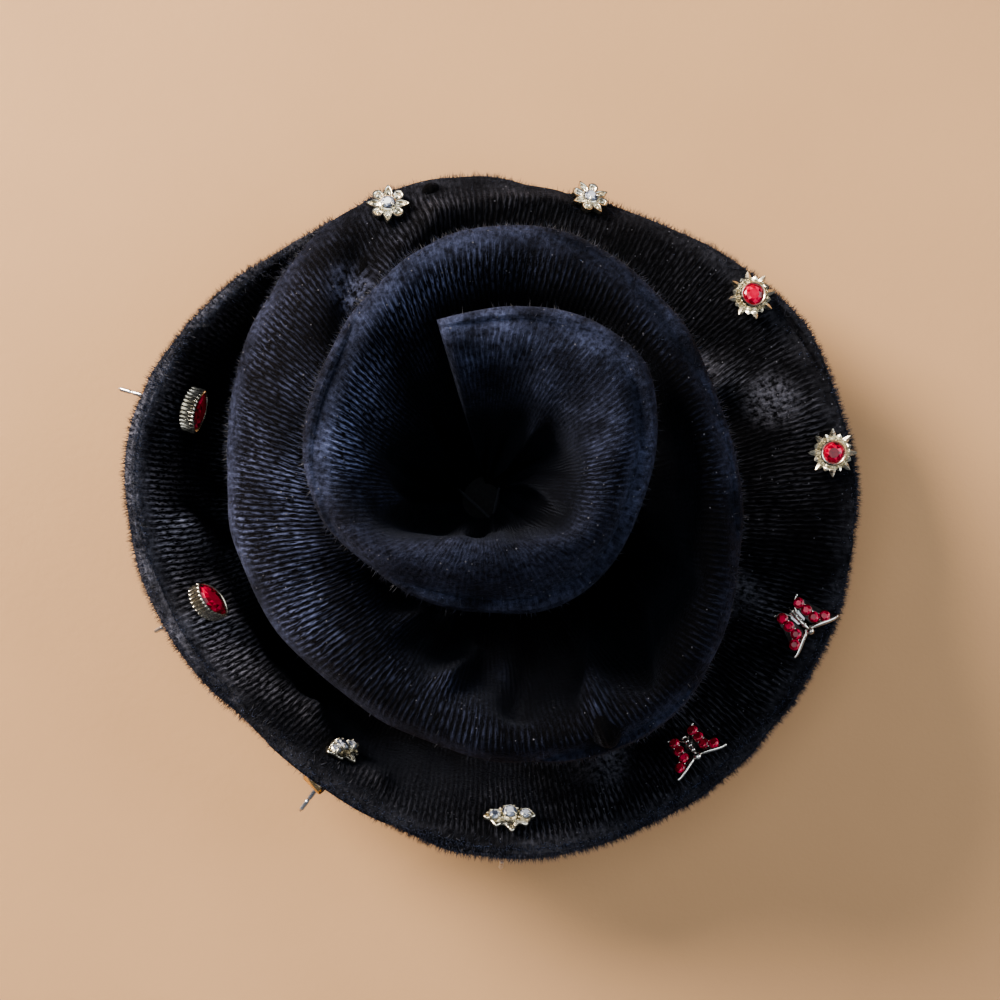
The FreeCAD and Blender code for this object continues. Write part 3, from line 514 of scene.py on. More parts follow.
class Shape:
    """Faces gathered from several closed pieces before they become one mesh."""

    def __init__(self, matrix=Matrix()):
        self.points = []
        self.faces = []
        self.matrix = matrix
        self.place = matrix

    def move(self, x=0.0, y=0.0):
        """Puts the next pieces round this spot of the shape's own frame."""
        self.place = self.matrix @ Matrix.Translation((x, y, 0))

    def add(self, points, faces):
        start = len(self.points)
        self.points += [self.place @ Vector(point) for point in points]
        self.faces += [tuple(start + i for i in face) for face in faces]

    def loft(self, rings, tied=False):
        """Skins rings of equal count, and fills the first and last or ties them together."""
        count = len(rings[0])
        faces = []
        for k in range(len(rings) if tied else len(rings) - 1):
            low, high = k * count, (k + 1) % len(rings) * count
            for i in range(count):
                j = (i + 1) % count
                faces.append((low + i, low + j, high + j, high + i))
        if not tied:
            faces.append(tuple(reversed(range(count))))
            last = (len(rings) - 1) * count
            faces.append(tuple(last + i for i in range(count)))
        self.add([p for ring in rings for p in ring], faces)

    def lathe(self, profile, steps=32, tied=False):
        """Turns (radius, height) points round Z."""
        self.loft([circle(radius, height, steps) for radius, height in profile], tied)

    def relief(self, reach, height, steps, layers):
        """A casting with the outline reach(angle) and the sculpted top height(angle, share)."""
        def ring(share, height_at):
            return [(share * reach(a) * math.cos(a), share * reach(a) * math.sin(a), height_at(a))
                    for a in angles_round(steps)]

        rings = [ring(0.95, lambda a: 0.0), ring(1.0, lambda a: 0.15)]
        for k in range(layers, 0, -1):
            rings.append(ring(k / layers, lambda a: height(a, k / layers)))
        self.loft(rings)

    def ball(self, centre, radius, stretch=(1, 1, 1), steps=12):
        rings = []
        for k in range(steps // 2 + 1):
            tilt = math.pi * (k + 0.02) / (steps // 2 + 0.04)
            ring = circle(radius * math.sin(tilt), -radius * math.cos(tilt), steps)
            rings.append([[c + s * p for c, s, p in zip(centre, stretch, point)] for point in ring])
        self.loft(rings)

    def tube(self, path, radius, sides=10):
        """A round bar along a path; radius is one number or one for each point."""
        radii = radius if isinstance(radius, (list, tuple)) else [radius] * len(path)
        self.loft([[point + (side * math.cos(a) + other * math.sin(a)) * reach
                    for a in angles_round(sides)]
                   for reach, (point, side, other) in zip(radii, carried([Vector(p) for p in path]))])

    def make(self, name, slot, body, stands_for=None, sharp=None):
        """One mesh of all the pieces, with flat faces or smooth up to the sharp angle."""
        mesh = bpy.data.meshes.new(name)
        mesh.from_pydata([p * MM for p in self.points], [], self.faces)
        mesh.validate()
        mesh.update()
        mesh.shade_flat()
        if sharp:
            mesh.shade_smooth()
            mesh.set_sharp_from_angle(angle=math.radians(sharp))
        return show(name, mesh, slot, body, stands_for)


# ------------------------------------------------------------------- jewellery

SLOTS = {row["node"]: row["material_slot"] for row in frame["record"]["subparts"]}
STUD_AXES = {joint["name"][:-len("_pull")]: joint["axis"] for joint in frame["joints"]
             if joint["name"].endswith("_pull")}


def stud_frame(node, axis):
    """From a post's or clutch's own frame: its outermost point, Z outwards, Y to the top."""
    out = Vector(axis).normalized()
    up = (Vector((0, 1, 0)) - out * out.y).normalized()
    turn = Matrix((up.cross(out), up, out))
    local = [turn @ vertex.co for vertex in frame["nodes"][node].data.vertices]
    low = [min(p[k] for p in local) for k in range(3)]
    high = [max(p[k] for p in local) for k in range(3)]
    origin = Vector(((low[0] + high[0]) / 2, (low[1] + high[1]) / 2, high[2])) / MM
    back = turn.transposed()
    return Matrix.Translation(back @ origin) @ back.to_4x4()


def smooth_outline(points, fill=5):
    """Closed curve through the points."""
    count = len(points)
    curve = []
    for i in range(count):
        near = [np.array(points[(i + k) % count]) for k in (-1, 0, 1, 2)]
        curve += [through(*near, step / fill) for step in range(fill)]
    return np.array(curve)


def cast_plate(shape, outline, profile):
    """A plate whose edge follows the profile's (inset, height) steps in from the outline."""
    following = np.roll(outline, -1, axis=0)
    along = following - np.roll(outline, 1, axis=0)
    along /= np.linalg.norm(along, axis=1)[:, None]
    if np.sum(outline[:, 0] * following[:, 1] - following[:, 0] * outline[:, 1]) < 0:
        outline, along = outline[::-1], -along[::-1]
    inward = np.column_stack((-along[:, 1], along[:, 0]))
    shape.loft([[(x, y, height) for x, y in outline + inward * inset] for inset, height in profile])


def brilliant(shape, radius, level, sides=8, rise=0.42):
    """A faceted stone: pointed below, triangular crown facets, flat table."""
    points = [(0, 0, level - 0.7 * radius)]
    layers = ((1.0, 0.0), (0.98, 0.10), (0.80, 0.7 * rise), (0.52, rise))
    for k, (share, height) in enumerate(layers):
        points += circle(share * radius, level + height * radius, sides, 0.5 * (k % 2))
    faces = [(0, 1 + (i + 1) % sides, 1 + i) for i in range(sides)]
    for k in range(len(layers) - 1):
        faces += bands(1 + k * sides, 1 + (k + 1) * sides, sides, k % 2)
    faces.append(tuple(1 + (len(layers) - 1) * sides + i for i in range(sides)))
    shape.add(points, faces)


def lobe(angle, count):
    """Place across the nearest of count lobes, -1 to 1, and the lobe's number."""
    turn = angle * count / (2 * math.pi)
    nearest = round(turn)
    return 2 * (turn - nearest), nearest % count


def claws(shape, radius, foot, top, thick=0.17):
    """Four claws that stand round a stone and bend over its edge."""
    for angle in angles_round(4, 0.5):
        side = Vector((math.cos(angle), math.sin(angle), 0))
        path = [side * (radius + away) + Vector((0, 0, height)) for away, height in
                ((0.15, foot), (0.13, top - 0.35), (0.02, top - 0.08), (-0.18, top))]
        shape.tube(path, [thick * 1.15, thick, thick, thick * 0.8], 8)
        shape.ball(path[-1], thick * 1.05, (1, 1, 0.8), 8)


def flower_setting(metal, gem, ground):
    """Eight scooped petals, pointed and round in turn, about a claw-set clear stone."""
    def reach(angle):
        across, number = lobe(angle, 8)
        if number % 2 == 0:
            return 1.72 + 1.28 * (1 - abs(across)) ** 1.15
        return 1.72 + 0.95 * math.sqrt(max(0.0, 1 - across ** 2))

    def height(angle, share):
        across, _ = lobe(angle, 8)
        scoop = math.exp(-(across / 0.56) ** 4) * math.exp(-((share - 0.66) / 0.20) ** 4)
        return 0.72 + 0.18 * share - 0.52 * scoop - 0.10 * abs(across)

    metal.relief(reach, height, 160, 22)
    metal.lathe([(1.20, 0.4), (1.16, 0.95), (1.02, 1.02), (0.92, 0.9), (0.85, 0.5)])
    claws(metal, 1.0, 0.4, 1.55)
    brilliant(gem, 1.0, 1.08)


def sun_setting(metal, gem, ground):
    """Eight long and eight short rays about a bezel-set red stone."""
    def reach(angle):
        across, number = lobe(angle, 16)
        tip = 3.45 if number % 2 == 0 else 2.8
        return 2.4 + (tip - 2.4) * (1 - abs(across)) ** 0.75

    def height(angle, share):
        across, number = lobe(angle, 16)
        ridge = (1 - abs(across)) * (0.42 if number % 2 == 0 else 0.26)
        groove = 0.42 * math.exp(-((share * reach(angle) - 2.02) / 0.16) ** 2)
        fall = 0.22 * max(0.0, share - 0.7)
        return 0.42 + ridge * smooth_rise(share, 0.55, 0.72) - groove - fall

    metal.relief(reach, height, 192, 30)
    metal.lathe([(1.86, 0.2), (1.88, 1.15), (1.80, 1.5), (1.64, 1.68), (1.46, 1.6), (1.38, 1.35),
                 (1.30, 0.6)], 48)
    brilliant(gem, 1.42, 1.36, 10, 0.40)


def butterfly_setting(metal, gem, ground):
    """Two swept wings set with red stones, joined by a slim body with a round head."""
    profile = ((0.52, 0.0), (0.46, 0.12), (0.46, 0.30), (0.52, 0.38), (0.60, 0.34))
    leading = 11                # outline points along the wing's leading edge
    for side in (-1, 1):
        outline = smooth_outline([(side * x, y) for x, y in WING])
        cast_plate(ground, outline, profile)
        path = [(x, y - 0.12, 0.55) for x, y in outline[:leading]]
        radii = [0.22 + 0.14 * math.sin(math.pi * i / (leading - 1)) for i in range(leading)]
        metal.tube(path, radii)
        metal.ball(path[-1], 0.27, steps=10)
        tail = [(side * x, y, z) for x, y, z in
                ((2.15, -2.3, 0.5), (1.5, -2.05, 0.6), (0.95, -1.6, 0.6), (0.45, -0.6, 0.6))]
        metal.tube(tail, [0.16, 0.15, 0.15, 0.16], 8)
        metal.ball(tail[0], 0.24, steps=10)
        for (x, y), (x2, y2) in zip(WING_STONES, WING_STONES[1:]):
            middle = Vector(((x + x2) / 2, (y + y2) / 2, 0))
            out = Vector((y2 - y, x - x2, 0)).normalized()
            for away in (-0.42, 0.42):
                bead = middle + out * away
                metal.ball((side * bead.x, bead.y, 0.82), 0.17, steps=8)
        for x, y in WING_STONES:
            metal.move(side * x, y)
            gem.move(side * x, y)
            metal.lathe([(0.60, 0.2), (0.72, 0.66), (0.70, 0.74), (0.62, 0.74), (0.56, 0.5)], 20)
            brilliant(gem, 0.80, 0.82, 7, 0.50)
        metal.move()
    metal.ball((0, 0.35, 0.62), 1.0, (0.38, 2.1, 0.46), 16)
    for ring in range(4):
        metal.ball((0, 1.5 - 0.85 * ring, 0.72), 0.46, (1, 0.5, 0.9), 10)
    metal.ball((0, 2.75, 0.75), 0.56, steps=14)


def reach_towards(outline, middle, way):
    """How far the outline is from the middle, about in the direction of way."""
    away = outline - np.array(middle[:2])
    apart = np.arctan2(away[:, 1], away[:, 0]) - math.atan2(way.y, way.x)
    apart = np.abs((apart + math.pi) % (2 * math.pi) - math.pi)
    return np.linalg.norm(away, axis=1)[np.argsort(apart)[:2]].min()


def tiara_setting(metal, gem, ground):
    """A scalloped band with three clear stones over a pointed lobe."""
    outline = smooth_outline(TIARA)
    cast_plate(metal, outline, ((0.12, 0.0), (0.0, 0.14), (0.0, 0.45), (0.09, 0.62), (0.22, 0.66),
                                (0.32, 0.5)))
    middle = Vector((0, -0.3, 0.55))
    for i in range(13):
        angle = math.radians(200 + 140 * i / 12)
        way = Vector((math.cos(angle), 0.8 * math.sin(angle), 0))
        reach = reach_towards(outline, middle, way)
        way.normalize()
        path = [middle + way * away for away in (0.75, 0.85 * reach, 0.97 * reach)]
        metal.tube(path, [0.10, 0.17, 0.12], 7)
    for radius, x, y in ((1.0, 0, 0.9), (0.75, -2.2, 0.45), (0.75, 2.2, 0.45)):
        metal.move(x, y)
        gem.move(x, y)
        metal.lathe([(radius + 0.16, 0.3), (radius + 0.16, 0.95), (radius + 0.07, 1.08),
                     (radius - 0.03, 1.0), (radius - 0.08, 0.6)], 28)
        claws(metal, radius, 0.5, 1.42, 0.13)
        brilliant(gem, radius, 1.0, rise=0.45)
    metal.move()
    for side in (-1, 1):
        for x, y in ((1.22, 1.55), (1.2, 0.0), (3.1, 0.9), (3.1, 0.0)):
            metal.ball((side * x, y, 0.78), 0.2, steps=9)


def navette(length, width, height, count, ripple=0.0):
    """Pointed oval between two arcs, anticlockwise; its edge can be rippled in 13 flutes a side."""
    half, rise = length / 2, width / 2
    radius = (half * half + rise * rise) / (2 * rise)
    sweep = math.asin(half / radius)
    outline = []
    for side in (-1, 1):
        for i in range(count):
            angle = side * (sweep - 2 * sweep * i / count)
            wave = math.cos(2 * math.pi * 13 * i / count)
            reach = radius + ripple * (wave - 1) / 2
            outline.append((reach * math.sin(angle),
                            side * (reach * math.cos(angle) - radius + rise), height))
    return outline


def marquise_setting(metal, gem, ground):
    """A tall milled bezel round a pointed oval red stone."""
    bezel = ((0.22, 0.0, 0.0), (0.05, 0.14, 0.12), (0.0, 0.34, 0.34), (0.0, 1.9, 0.34),
             (0.03, 2.12, 0.16), (0.12, 2.3, 0.0), (0.28, 2.4, 0.0), (0.42, 2.32, 0.0),
             (0.50, 1.9, 0.0), (0.52, 1.0, 0.0))
    metal.loft([navette(6.4 - 2 * inset, 4.0 - 2 * inset, height, 96, ripple)
                for inset, height, ripple in bezel])
    sides = 14
    cuts = ((0.8, 0.5, 1.55), (5.5, 3.12, 2.12), (4.4, 2.3, 2.5), (2.9, 1.3, 2.72))
    faces = [tuple(reversed(range(sides)))]
    for k in range(len(cuts) - 1):
        faces += bands(k * sides, (k + 1) * sides, sides, True)
    faces.append(tuple((len(cuts) - 1) * sides + i for i in range(sides)))
    gem.add([p for cut in cuts for p in navette(*cut, sides // 2)], faces)


def clutch_back(shape):
    """A pressed plate with a flared hole, its two ears curled round onto the post."""
    shape.lathe([(0.40, -0.62), (0.62, -0.60), (0.72, -0.42), (0.90, -0.33), (2.1, -0.30),
                 (2.28, -0.24), (2.30, -0.15), (2.26, -0.05), (2.05, 0.0), (1.3, -0.02),
                 (0.7, -0.08), (0.44, -0.16), (0.40, -0.3)], 48, tied=True)
    thick = 0.13
    for side in (-1, 1):
        rings = []
        for k in range(34):
            share = k / 33
            angle = math.radians(100 - 395 * share)
            radius = 1.20 - 0.34 * smooth_rise(share, 0.45, 1.0)
            centre = Vector((side * 1.74, 0, -1.59))
            out = Vector((side * math.cos(angle), 0, math.sin(angle)))
            half = 1.5 * (0.80 + 0.20 * math.sin(math.pi * min(1.0, 1.4 * share)))
            half *= 1 - 0.45 * smooth_rise(share, 0.86, 1.0)
            section = ((-half, -thick), (-half - 0.1, 0.0), (-half, thick), (0, thick * 1.05),
                       (half, thick), (half + 0.1, 0.0), (half, -thick), (0, -thick * 0.95))
            ring = [centre + out * (radius + away) + Vector((0, y, 0)) for y, away in section]
            rings.append(ring if side < 0 else ring[::-1])
        shape.loft(rings)


SETTINGS = {"flower": flower_setting, "sun": sun_setting, "butterfly": butterfly_setting,
            "tiara": tiara_setting, "marquise": marquise_setting}


def jewellery():
    """Each stud's cast setting with its stones, and the clutch behind the velvet."""
    for name, design, spin in STUDS:
        axis, stud, clutch = STUD_AXES[name], name + "_stud", name + "_clutch"
        matrix = stud_frame(name + "_post", axis) @ Matrix.Rotation(math.radians(spin), 4, "Z")
        metal, gem, ground = (Shape(matrix) for _ in range(3))
        back = Shape(stud_frame(clutch, axis))
        SETTINGS[design](metal, gem, ground)
        clutch_back(back)
        stones = name + ("_stones" if design in ("butterfly", "tiara") else "_stone")
        setting = name + "_setting"
        if ground.points:
            ground.make(name + "_ground", "oxidised", stud, sharp=50)
        metal.make(name + "_cast", SLOTS[setting], stud, setting, 50)
        gems = gem.make(name + "_gems", SLOTS[stones], stud, stones)
        # Each facet gets its own random brightness, a painted reflection from deep colour to flash.
        layer = gems.data.attributes.new("facet", "FLOAT", "FACE")
        layer.data.foreach_set("value", noise_source.random(len(gems.data.polygons)))
        back.make(name + "_curled_clutch", SLOTS[clutch], clutch, clutch, 60)


# -------------------------------------------------------------- felt and thread

def felt_disc():
    """Die-cut felt with a soft, slightly uneven edge that the stitches pull in."""
    profile = [(0.965 * r, 0.02) for r in (0.02, 4, 8, 12, 15, 16.6)]
    profile += [(16.55, 0.0), (16.86, 0.10), (17.0, 0.4), (17.04, 0.8), (16.96, 1.2), (16.75, 1.45)]
    profile += [(r, FELT_TOP) for r in (16.4, 15, 12, 8, 4, 0.02)]
    rings = []
    for radius, height in profile:
        ring = []
        pull = 0.042 * smooth_rise(radius, 13.0, 16.8) * (height < FELT_TOP / 2)
        for a in angles_round(220):
            uneven = 0.07 * math.sin(5 * a + 1) + 0.05 * math.sin(13 * a) + 0.035 * math.sin(37 * a + 2)
            reach = radius + uneven * radius / FELT_RADIUS
            ring.append((reach * math.cos(a), reach * math.sin(a), height
                         + pull * math.cos(EDGE_STITCHES * a) + 0.02 * math.sin(9 * a + radius)))
        rings.append(ring)
    shape = Shape()
    shape.loft(rings)
    disc = shape.make("felt_disc", "felt", "root", "felt_backing", 70)


def twisted_thread(shape, path):
    """Two plies laid round each other along a path."""
    lay, ply_reach, ply_radius, step = 1.0, 0.096, 0.108, 0.16
    path = np.array(path)
    marks = np.concatenate(([0], np.cumsum(np.linalg.norm(np.diff(path, axis=0), axis=1))))
    count = max(8, int(marks[-1] / step))
    places = np.linspace(0, marks[-1], count + 1)
    line = [Vector([np.interp(at, marks, path[:, k]) for k in range(3)]) for at in places]
    plies = [[], []]
    for at, (point, side, other) in zip(places, carried(line)):
        turn = 2 * math.pi * at / lay
        away = (side * math.cos(turn) + other * math.sin(turn)) * ply_reach
        plies[0].append(point + away)
        plies[1].append(point - away)
    for ply in plies:
        shape.tube(ply, ply_radius, 7)


def stitched(shape, start, end, legs):
    """One stitch: a leg up into the cloth at each end, rounded where it turns."""
    start, end = Vector(start), Vector(end)
    run = (end - start).normalized()
    rise = Vector((0, 0, 1))
    bend = 0.25
    twisted_thread(shape, [start + rise * legs[0], start + rise * bend,
                           start + (rise + run) * bend * 0.3, start + run * bend,
                           (start + end) / 2 - rise * 0.04, end - run * bend,
                           end + (rise - run) * bend * 0.3, end + rise * bend, end + rise * legs[1]])


def stitching():
    """The felt's edge stitches, the bar's sewing, and the threads through the coil."""
    edge, bar, coil = Shape(), Shape(), Shape()
    low = -THREAD / 2
    for angle in angles_round(EDGE_STITCHES, 0.5):
        ends = [(math.cos(a) * r, math.sin(a) * r, low)
                for a, r in ((angle, FELT_RADIUS - 1.5), (angle + 0.05, FELT_RADIUS + 0.4))]
        stitched(edge, *ends, (1.0, 2.2))
    for side in (-1, 1):
        for rim in (-1, 1):
            for fan in (-1, 1):
                start = (side * 6.0 + fan * 0.45, rim * 0.55, -0.8 + low)
                end = (side * 6.0 + fan * 0.9, rim * 2.85, -0.8 + low)
                stitched(bar, start, end, (1.8, 1.8))
    for i in range(3):
        angle = math.pi * (i + 0.3) / 3
        way = Vector((math.cos(angle), math.sin(angle), 0)) * (COIL_END - 0.5)
        rise = Vector((0, 0, 2.6 + 0.8 * i))
        twisted_thread(coil, [rise - way, rise, rise + way])
    edge.make("edge_thread", "thread", "root", "felt_edge_stitches", 80)
    bar.make("bar_thread", "thread", "root", "bar_stitches", 80)
    coil.make("coil_thread", "thread", "root", "coil_stitches", 80)


# ---------------------------------------------------------------------- velvet

def spline_basis(count, places):
    """Weights of a clamped cubic spline's control points at the given places."""
    knots = np.clip(np.arange(-3.0, count + 1), 0, count - 3)
    places = np.clip(places, 0.0, count - 3 - 1e-9)[:, None]
    weights = ((places >= knots[:-1]) & (places < knots[1:])).astype(float)
    for degree in range(1, 4):
        width = knots[degree:] - knots[:-degree]
        share = (places - knots[:-degree]) / np.where(width > 0, width, np.inf)
        weights = share[:, :-1] * weights[:, :-1] + (1 - share[:, 1:]) * weights[:, 1:]
    return weights


def key_section(turn):
    """The section's control values at a turn, eased from one key turn to the next."""
    flat = [(row[0], *row[1], *row[2], *row[3], *row[4], row[5]) for row in SECTIONS]
    for low, high in zip(flat, flat[1:]):
        if turn <= high[0]:
            share = smooth_rise(turn, low[0], high[0])
            return [a * (1 - share) + b * share for a, b in zip(low[1:], high[1:])]
    return list(flat[-1][1:])


def rim_radius(turn):
    last = len(RIM_RADII) - 1
    place = min(turn / TURN_STEP, last - 0.001)
    i = int(place)
    return through(*(RIM_RADII[max(0, min(i + k, last))] for k in (-1, 0, 1, 2)), place - i)


def section_poles(turn, swell):
    """Control points of the folded wall's section: up inside, round the rim, down outside."""
    angle = math.radians(START_ANGLE - turn)
    out = np.array((math.cos(angle), math.sin(angle)))
    done = turn / TURN_TOTAL
    base = np.array(HEART) * max(0.0, 1 - 2 * done) + out * (
        COIL_START + (COIL_END - COIL_START) * done)
    run = out * rim_radius(turn) * swell - base
    reach = np.linalg.norm(run)
    run = run / reach
    half = WALL / 2
    reach -= half
    values = key_section(turn)
    spine = [(0.0, FELT_TOP)] + [(reach * values[k], values[k + 1]) for k in (0, 2, 4, 6)]
    spine = np.array(spine + [(reach, values[8])])
    inner, outer = [spine[0] - (half, 0)], [spine[0] + (half, 0)]
    for i in range(1, len(spine)):
        along = spine[min(i + 1, len(spine) - 1)] - spine[i - 1]
        along = along / np.linalg.norm(along)
        sideways = half * np.array((-along[1], along[0]))
        inner.append(spine[i] + sideways)
        outer.append(spine[i] - sideways)
    along = spine[-1] - spine[-2]
    tip = along / np.linalg.norm(along) * half * 1.2
    section = np.array(inner + [inner[-1] + tip, outer[-1] + tip] + outer[::-1])
    flat = base[None, :] + section[:, :1] * run[None, :]
    return np.column_stack((flat, section[:, 1]))


def value_noise(rows, columns, x, y):
    """Smooth random field, sampled at x, y in cells."""
    table = noise_source.uniform(-1, 1, (rows + 4, columns + 4))

    xi, yi = np.floor(x).astype(int), np.floor(y).astype(int)
    lines = []
    for i in range(4):
        near = [table[np.clip(xi + i, 0, rows + 3), np.clip(yi + j, 0, columns + 3)]
                for j in range(4)]
        lines.append(through(*near, y - yi))
    return through(*lines, x - xi)


def surface_normals(points):
    normals = np.cross(np.gradient(points, axis=0), np.gradient(points, axis=1))
    return normals / np.maximum(np.linalg.norm(normals, axis=2, keepdims=True), 1e-9)


class Strip:
    """The folded strip as a grid of points, and each one's place on the flat cloth."""

    def __init__(self):
        step = TURN_TOTAL / STATIONS
        # A cubic spline lies this much inside poles that stand on a circle.
        swell = 3 / (2 + math.cos(math.radians(step)))
        poles = np.array([section_poles(i * step, swell) for i in range(STATIONS + 1)])
        spans = len(poles) - 3
        middle = (POLES - 3) / 2

        def sheet(along, across):
            return np.einsum("up,pvk,wv->uwk", spline_basis(len(poles), along), poles,
                             spline_basis(POLES, across))

        # Columns are spaced evenly along the rim.
        fine = np.linspace(0, spans, 4000)
        rim = sheet(fine, np.array([middle]))[:, 0]
        length = np.concatenate(([0], np.cumsum(np.linalg.norm(np.diff(rim, axis=0), axis=1))))
        self.rim_length = length[-1]
        even = np.interp(np.linspace(0, self.rim_length, COLUMNS), length, fine)
        # Rows stand closer together round the fold.
        t = np.linspace(-1, 1, ROWS)
        self.points = sheet(even, middle + middle * (0.55 * t + 0.45 * t ** 3))
        self.turns = even * TURN_TOTAL / spans

        across = np.linalg.norm(np.diff(self.points, axis=1), axis=2)
        reach = np.concatenate((np.zeros((COLUMNS, 1)), np.cumsum(across, axis=1)), axis=1)
        half_width = reach[:, -1:] / 2
        self.from_rim = reach - half_width
        self.share = 1 - np.abs(self.from_rim) / half_width     # 0 at the base, 1 at the rim
        self.u = np.linspace(0, self.rim_length, COLUMNS)[:, None] + 0 * self.share
        self.from_end = np.minimum(self.u, self.rim_length - self.u)

    def folds(self):
        """Gathers, waves and lumps that both faces share, and each face's own unevenness."""
        u, share = self.u, self.share
        slant = u + 7 * (1 - share)
        gathers = (value_noise(180, 4, slant / 3.9, share * 2.2)
                   + 0.35 * value_noise(300, 6, slant / 2.3, share * 3))
        gathers *= 0.05 + 2.6 * smooth_rise(1 - share, 0.10, 0.95)
        waves = value_noise(40, 5, u / 23.0, share * 2.2)
        waves *= 0.35 + 0.65 * smooth_rise(share, 0.2, 0.9)
        lumps = value_noise(90, 14, u / 8.5, share * 6) * smooth_rise(share, 0.0, 0.2)
        own = value_noise(150, 26, u / 4.6, (self.from_rim + 70) / 6.0)
        return gathers * 0.8 + waves * 0.9 + lumps * 0.32, own

    def marks(self):
        """The pressed ridges' height, and how crushed the pile of the inner face is, which also gives it a painted
        shimmer.
        """
        cloth = np.stack((self.u, self.share * HALF_STRIP), axis=-1)

        def on_cloth(turn, share):
            return np.array((np.interp(turn, self.turns, self.u[:, 0]), share * HALF_STRIP))

        ridges = np.zeros(self.u.shape)
        for turn_a, share_a, turn_b, share_b, wide, high in RIDGES:
            start, end = on_cloth(turn_a, share_a), on_cloth(turn_b, share_b)
            run = end - start
            part = np.clip(((cloth - start) @ run) / (run @ run), 0, 1)
            gap = np.linalg.norm(cloth - start - part[..., None] * run, axis=2)
            ridges += high * np.exp(-(gap / wide) ** 2)
        crush_and_shimmer = np.zeros(self.u.shape)
        for turn, share, radius in CRUSHED_AND_SHIMMER:
            gap = np.linalg.norm(cloth - on_cloth(turn, share), axis=2)
            crush_and_shimmer = np.maximum(crush_and_shimmer, 1 - smooth_rise(gap, radius * 0.35, radius))
        return ridges, crush_and_shimmer * (self.from_rim <= 0)

    def shape_cloth(self, ridges, crush_and_shimmer):
        """Moves the points off the plain strip and turns in its two ends."""
        together, own = self.folds()
        # A ridge stands up from the inner face, which is the one seen from above.
        lift = np.where(self.from_rim > 0, 1, -1) * (together - ridges) + own * (0.15 + 0.35 * crush_and_shimmer)
        calm = smooth_rise(self.share, 0.0, 0.03)
        for name, axis in STUD_AXES.items():
            spot = np.array(stud_frame(name + "_post", axis).translation)
            gap = np.linalg.norm(self.points - spot, axis=2)
            calm = calm * (1 - 0.97 * np.exp(-(gap / POST_REACH) ** 2))
        lift *= smooth_rise(self.from_end, 0, 8) * calm
        points = self.points + surface_normals(self.points) * lift[:, :, None]
        points[:, :, 2] = np.maximum(points[:, :, 2], LOWEST)
        middle = (points + points[:, ::-1]) / 2
        edge = np.clip(self.from_end / (WALL / 2), 0, 1)
        puff = np.sqrt(np.clip(1 - (1 - edge) ** 2, 0, 1))
        self.points = middle + (points - middle) * puff[:, :, None]

    def painted_light_and_shade_map(self):
        """Light and shade painted onto the pile all over the cloth, eased between the table's rows and columns."""
        keys, *table = zip(*PAINTED_LIGHT_TABLE)
        columns = [np.interp(self.turns, keys, column)[:, None] for column in table]
        value = columns[0] + 0 * self.share
        for k in range(len(PAINTED_LIGHT_SHARES) - 1):
            rise = smooth_rise(self.share, PAINTED_LIGHT_SHARES[k], PAINTED_LIGHT_SHARES[k + 1])
            value += (columns[k + 1] - columns[k]) * rise
        return value

    def pile_fields(self, ridges):
        """Painted light and shade, the fold's woolly rim, and the navy tint of the painted sheen, over the cloth.
        """
        turn = self.turns[:, None] + 0 * self.share
        lip = smooth_rise(turn, 60, 110) * (1 - smooth_rise(turn, 265, 300))
        flap = 0.6 * (1 - smooth_rise(turn, 50, 75))
        rim = np.maximum(smooth_rise(self.share, 0.92, 0.98),
                         np.maximum(lip * 0.85, flap) * smooth_rise(self.share, 0.55, 0.72))
        raised = np.clip(ridges, 0, 2)
        # Painted highlight: raised ridges get more painted light.
        painted_light_and_shade = self.painted_light_and_shade_map() * (1 + 0.7 * raised) + 0.25 * raised
        # Painted shade: on the face turned down and outwards the painted light is held to 0.9 at most.
        outer = smooth_rise(self.from_rim, 0, 4)
        painted_light_and_shade = painted_light_and_shade * (1 - outer) + np.minimum(painted_light_and_shade, 0.9) * outer
        # Navy tint of the painted sheen: full on the inner turns, fading over the outer petal.
        return {"painted_light_and_shade": painted_light_and_shade, "rim": rim, "navy": 1 - 0.8 * smooth_rise(turn, 700, 735)}

    def openness(self, obj, rays=20, skip=4):
        """How much of the room each point of the cloth sees, from 0 in a fold to 1; the velvet's colour is
        darkened by it as painted shade.
        """
        tree = BVHTree.FromObject(obj, bpy.context.evaluated_depsgraph_get())
        columns = np.arange(0, COLUMNS, skip)
        rows = np.arange(0, ROWS, skip - 1)
        normals = surface_normals(self.points)
        spread = noise_source.normal(size=(rays, 3))
        spread /= np.linalg.norm(spread, axis=1)[:, None]
        seen = np.zeros((len(columns), len(rows)))
        for i, column in enumerate(columns):
            for j, row in enumerate(rows):
                out = normals[column, row]
                start = Vector((self.points[column, row] + out * 0.25) * MM)
                for way in spread + out * 1.05:
                    hit = tree.ray_cast(start, Vector(way), 0.05)
                    seen[i, j] += (hit[0] is None and way[2] > 0) / rays
        across = np.array([np.interp(np.arange(ROWS), rows, line) for line in seen])
        return np.array([np.interp(np.arange(COLUMNS), columns, line) for line in across.T]).T

    def mesh(self):
        mesh = bpy.data.meshes.new("velvet_rose")
        index = np.arange(COLUMNS * ROWS).reshape(COLUMNS, ROWS)
        quads = np.stack((index[:-1, :-1], index[1:, :-1], index[1:, 1:], index[:-1, 1:]), axis=-1)
        mesh.from_pydata((self.points.reshape(-1, 3) * MM).tolist(), [],
                         quads.reshape(-1, 4).tolist())
        layer = mesh.uv_layers.new(name="strip")
        flat = np.stack((self.u, self.from_rim), axis=-1).reshape(-1, 2) * MM
        loops = np.zeros(len(mesh.loops), dtype=int)
        mesh.loops.foreach_get("vertex_index", loops)
        layer.data.foreach_set("uv", flat[loops].ravel())
        mesh.shade_smooth()
        return mesh


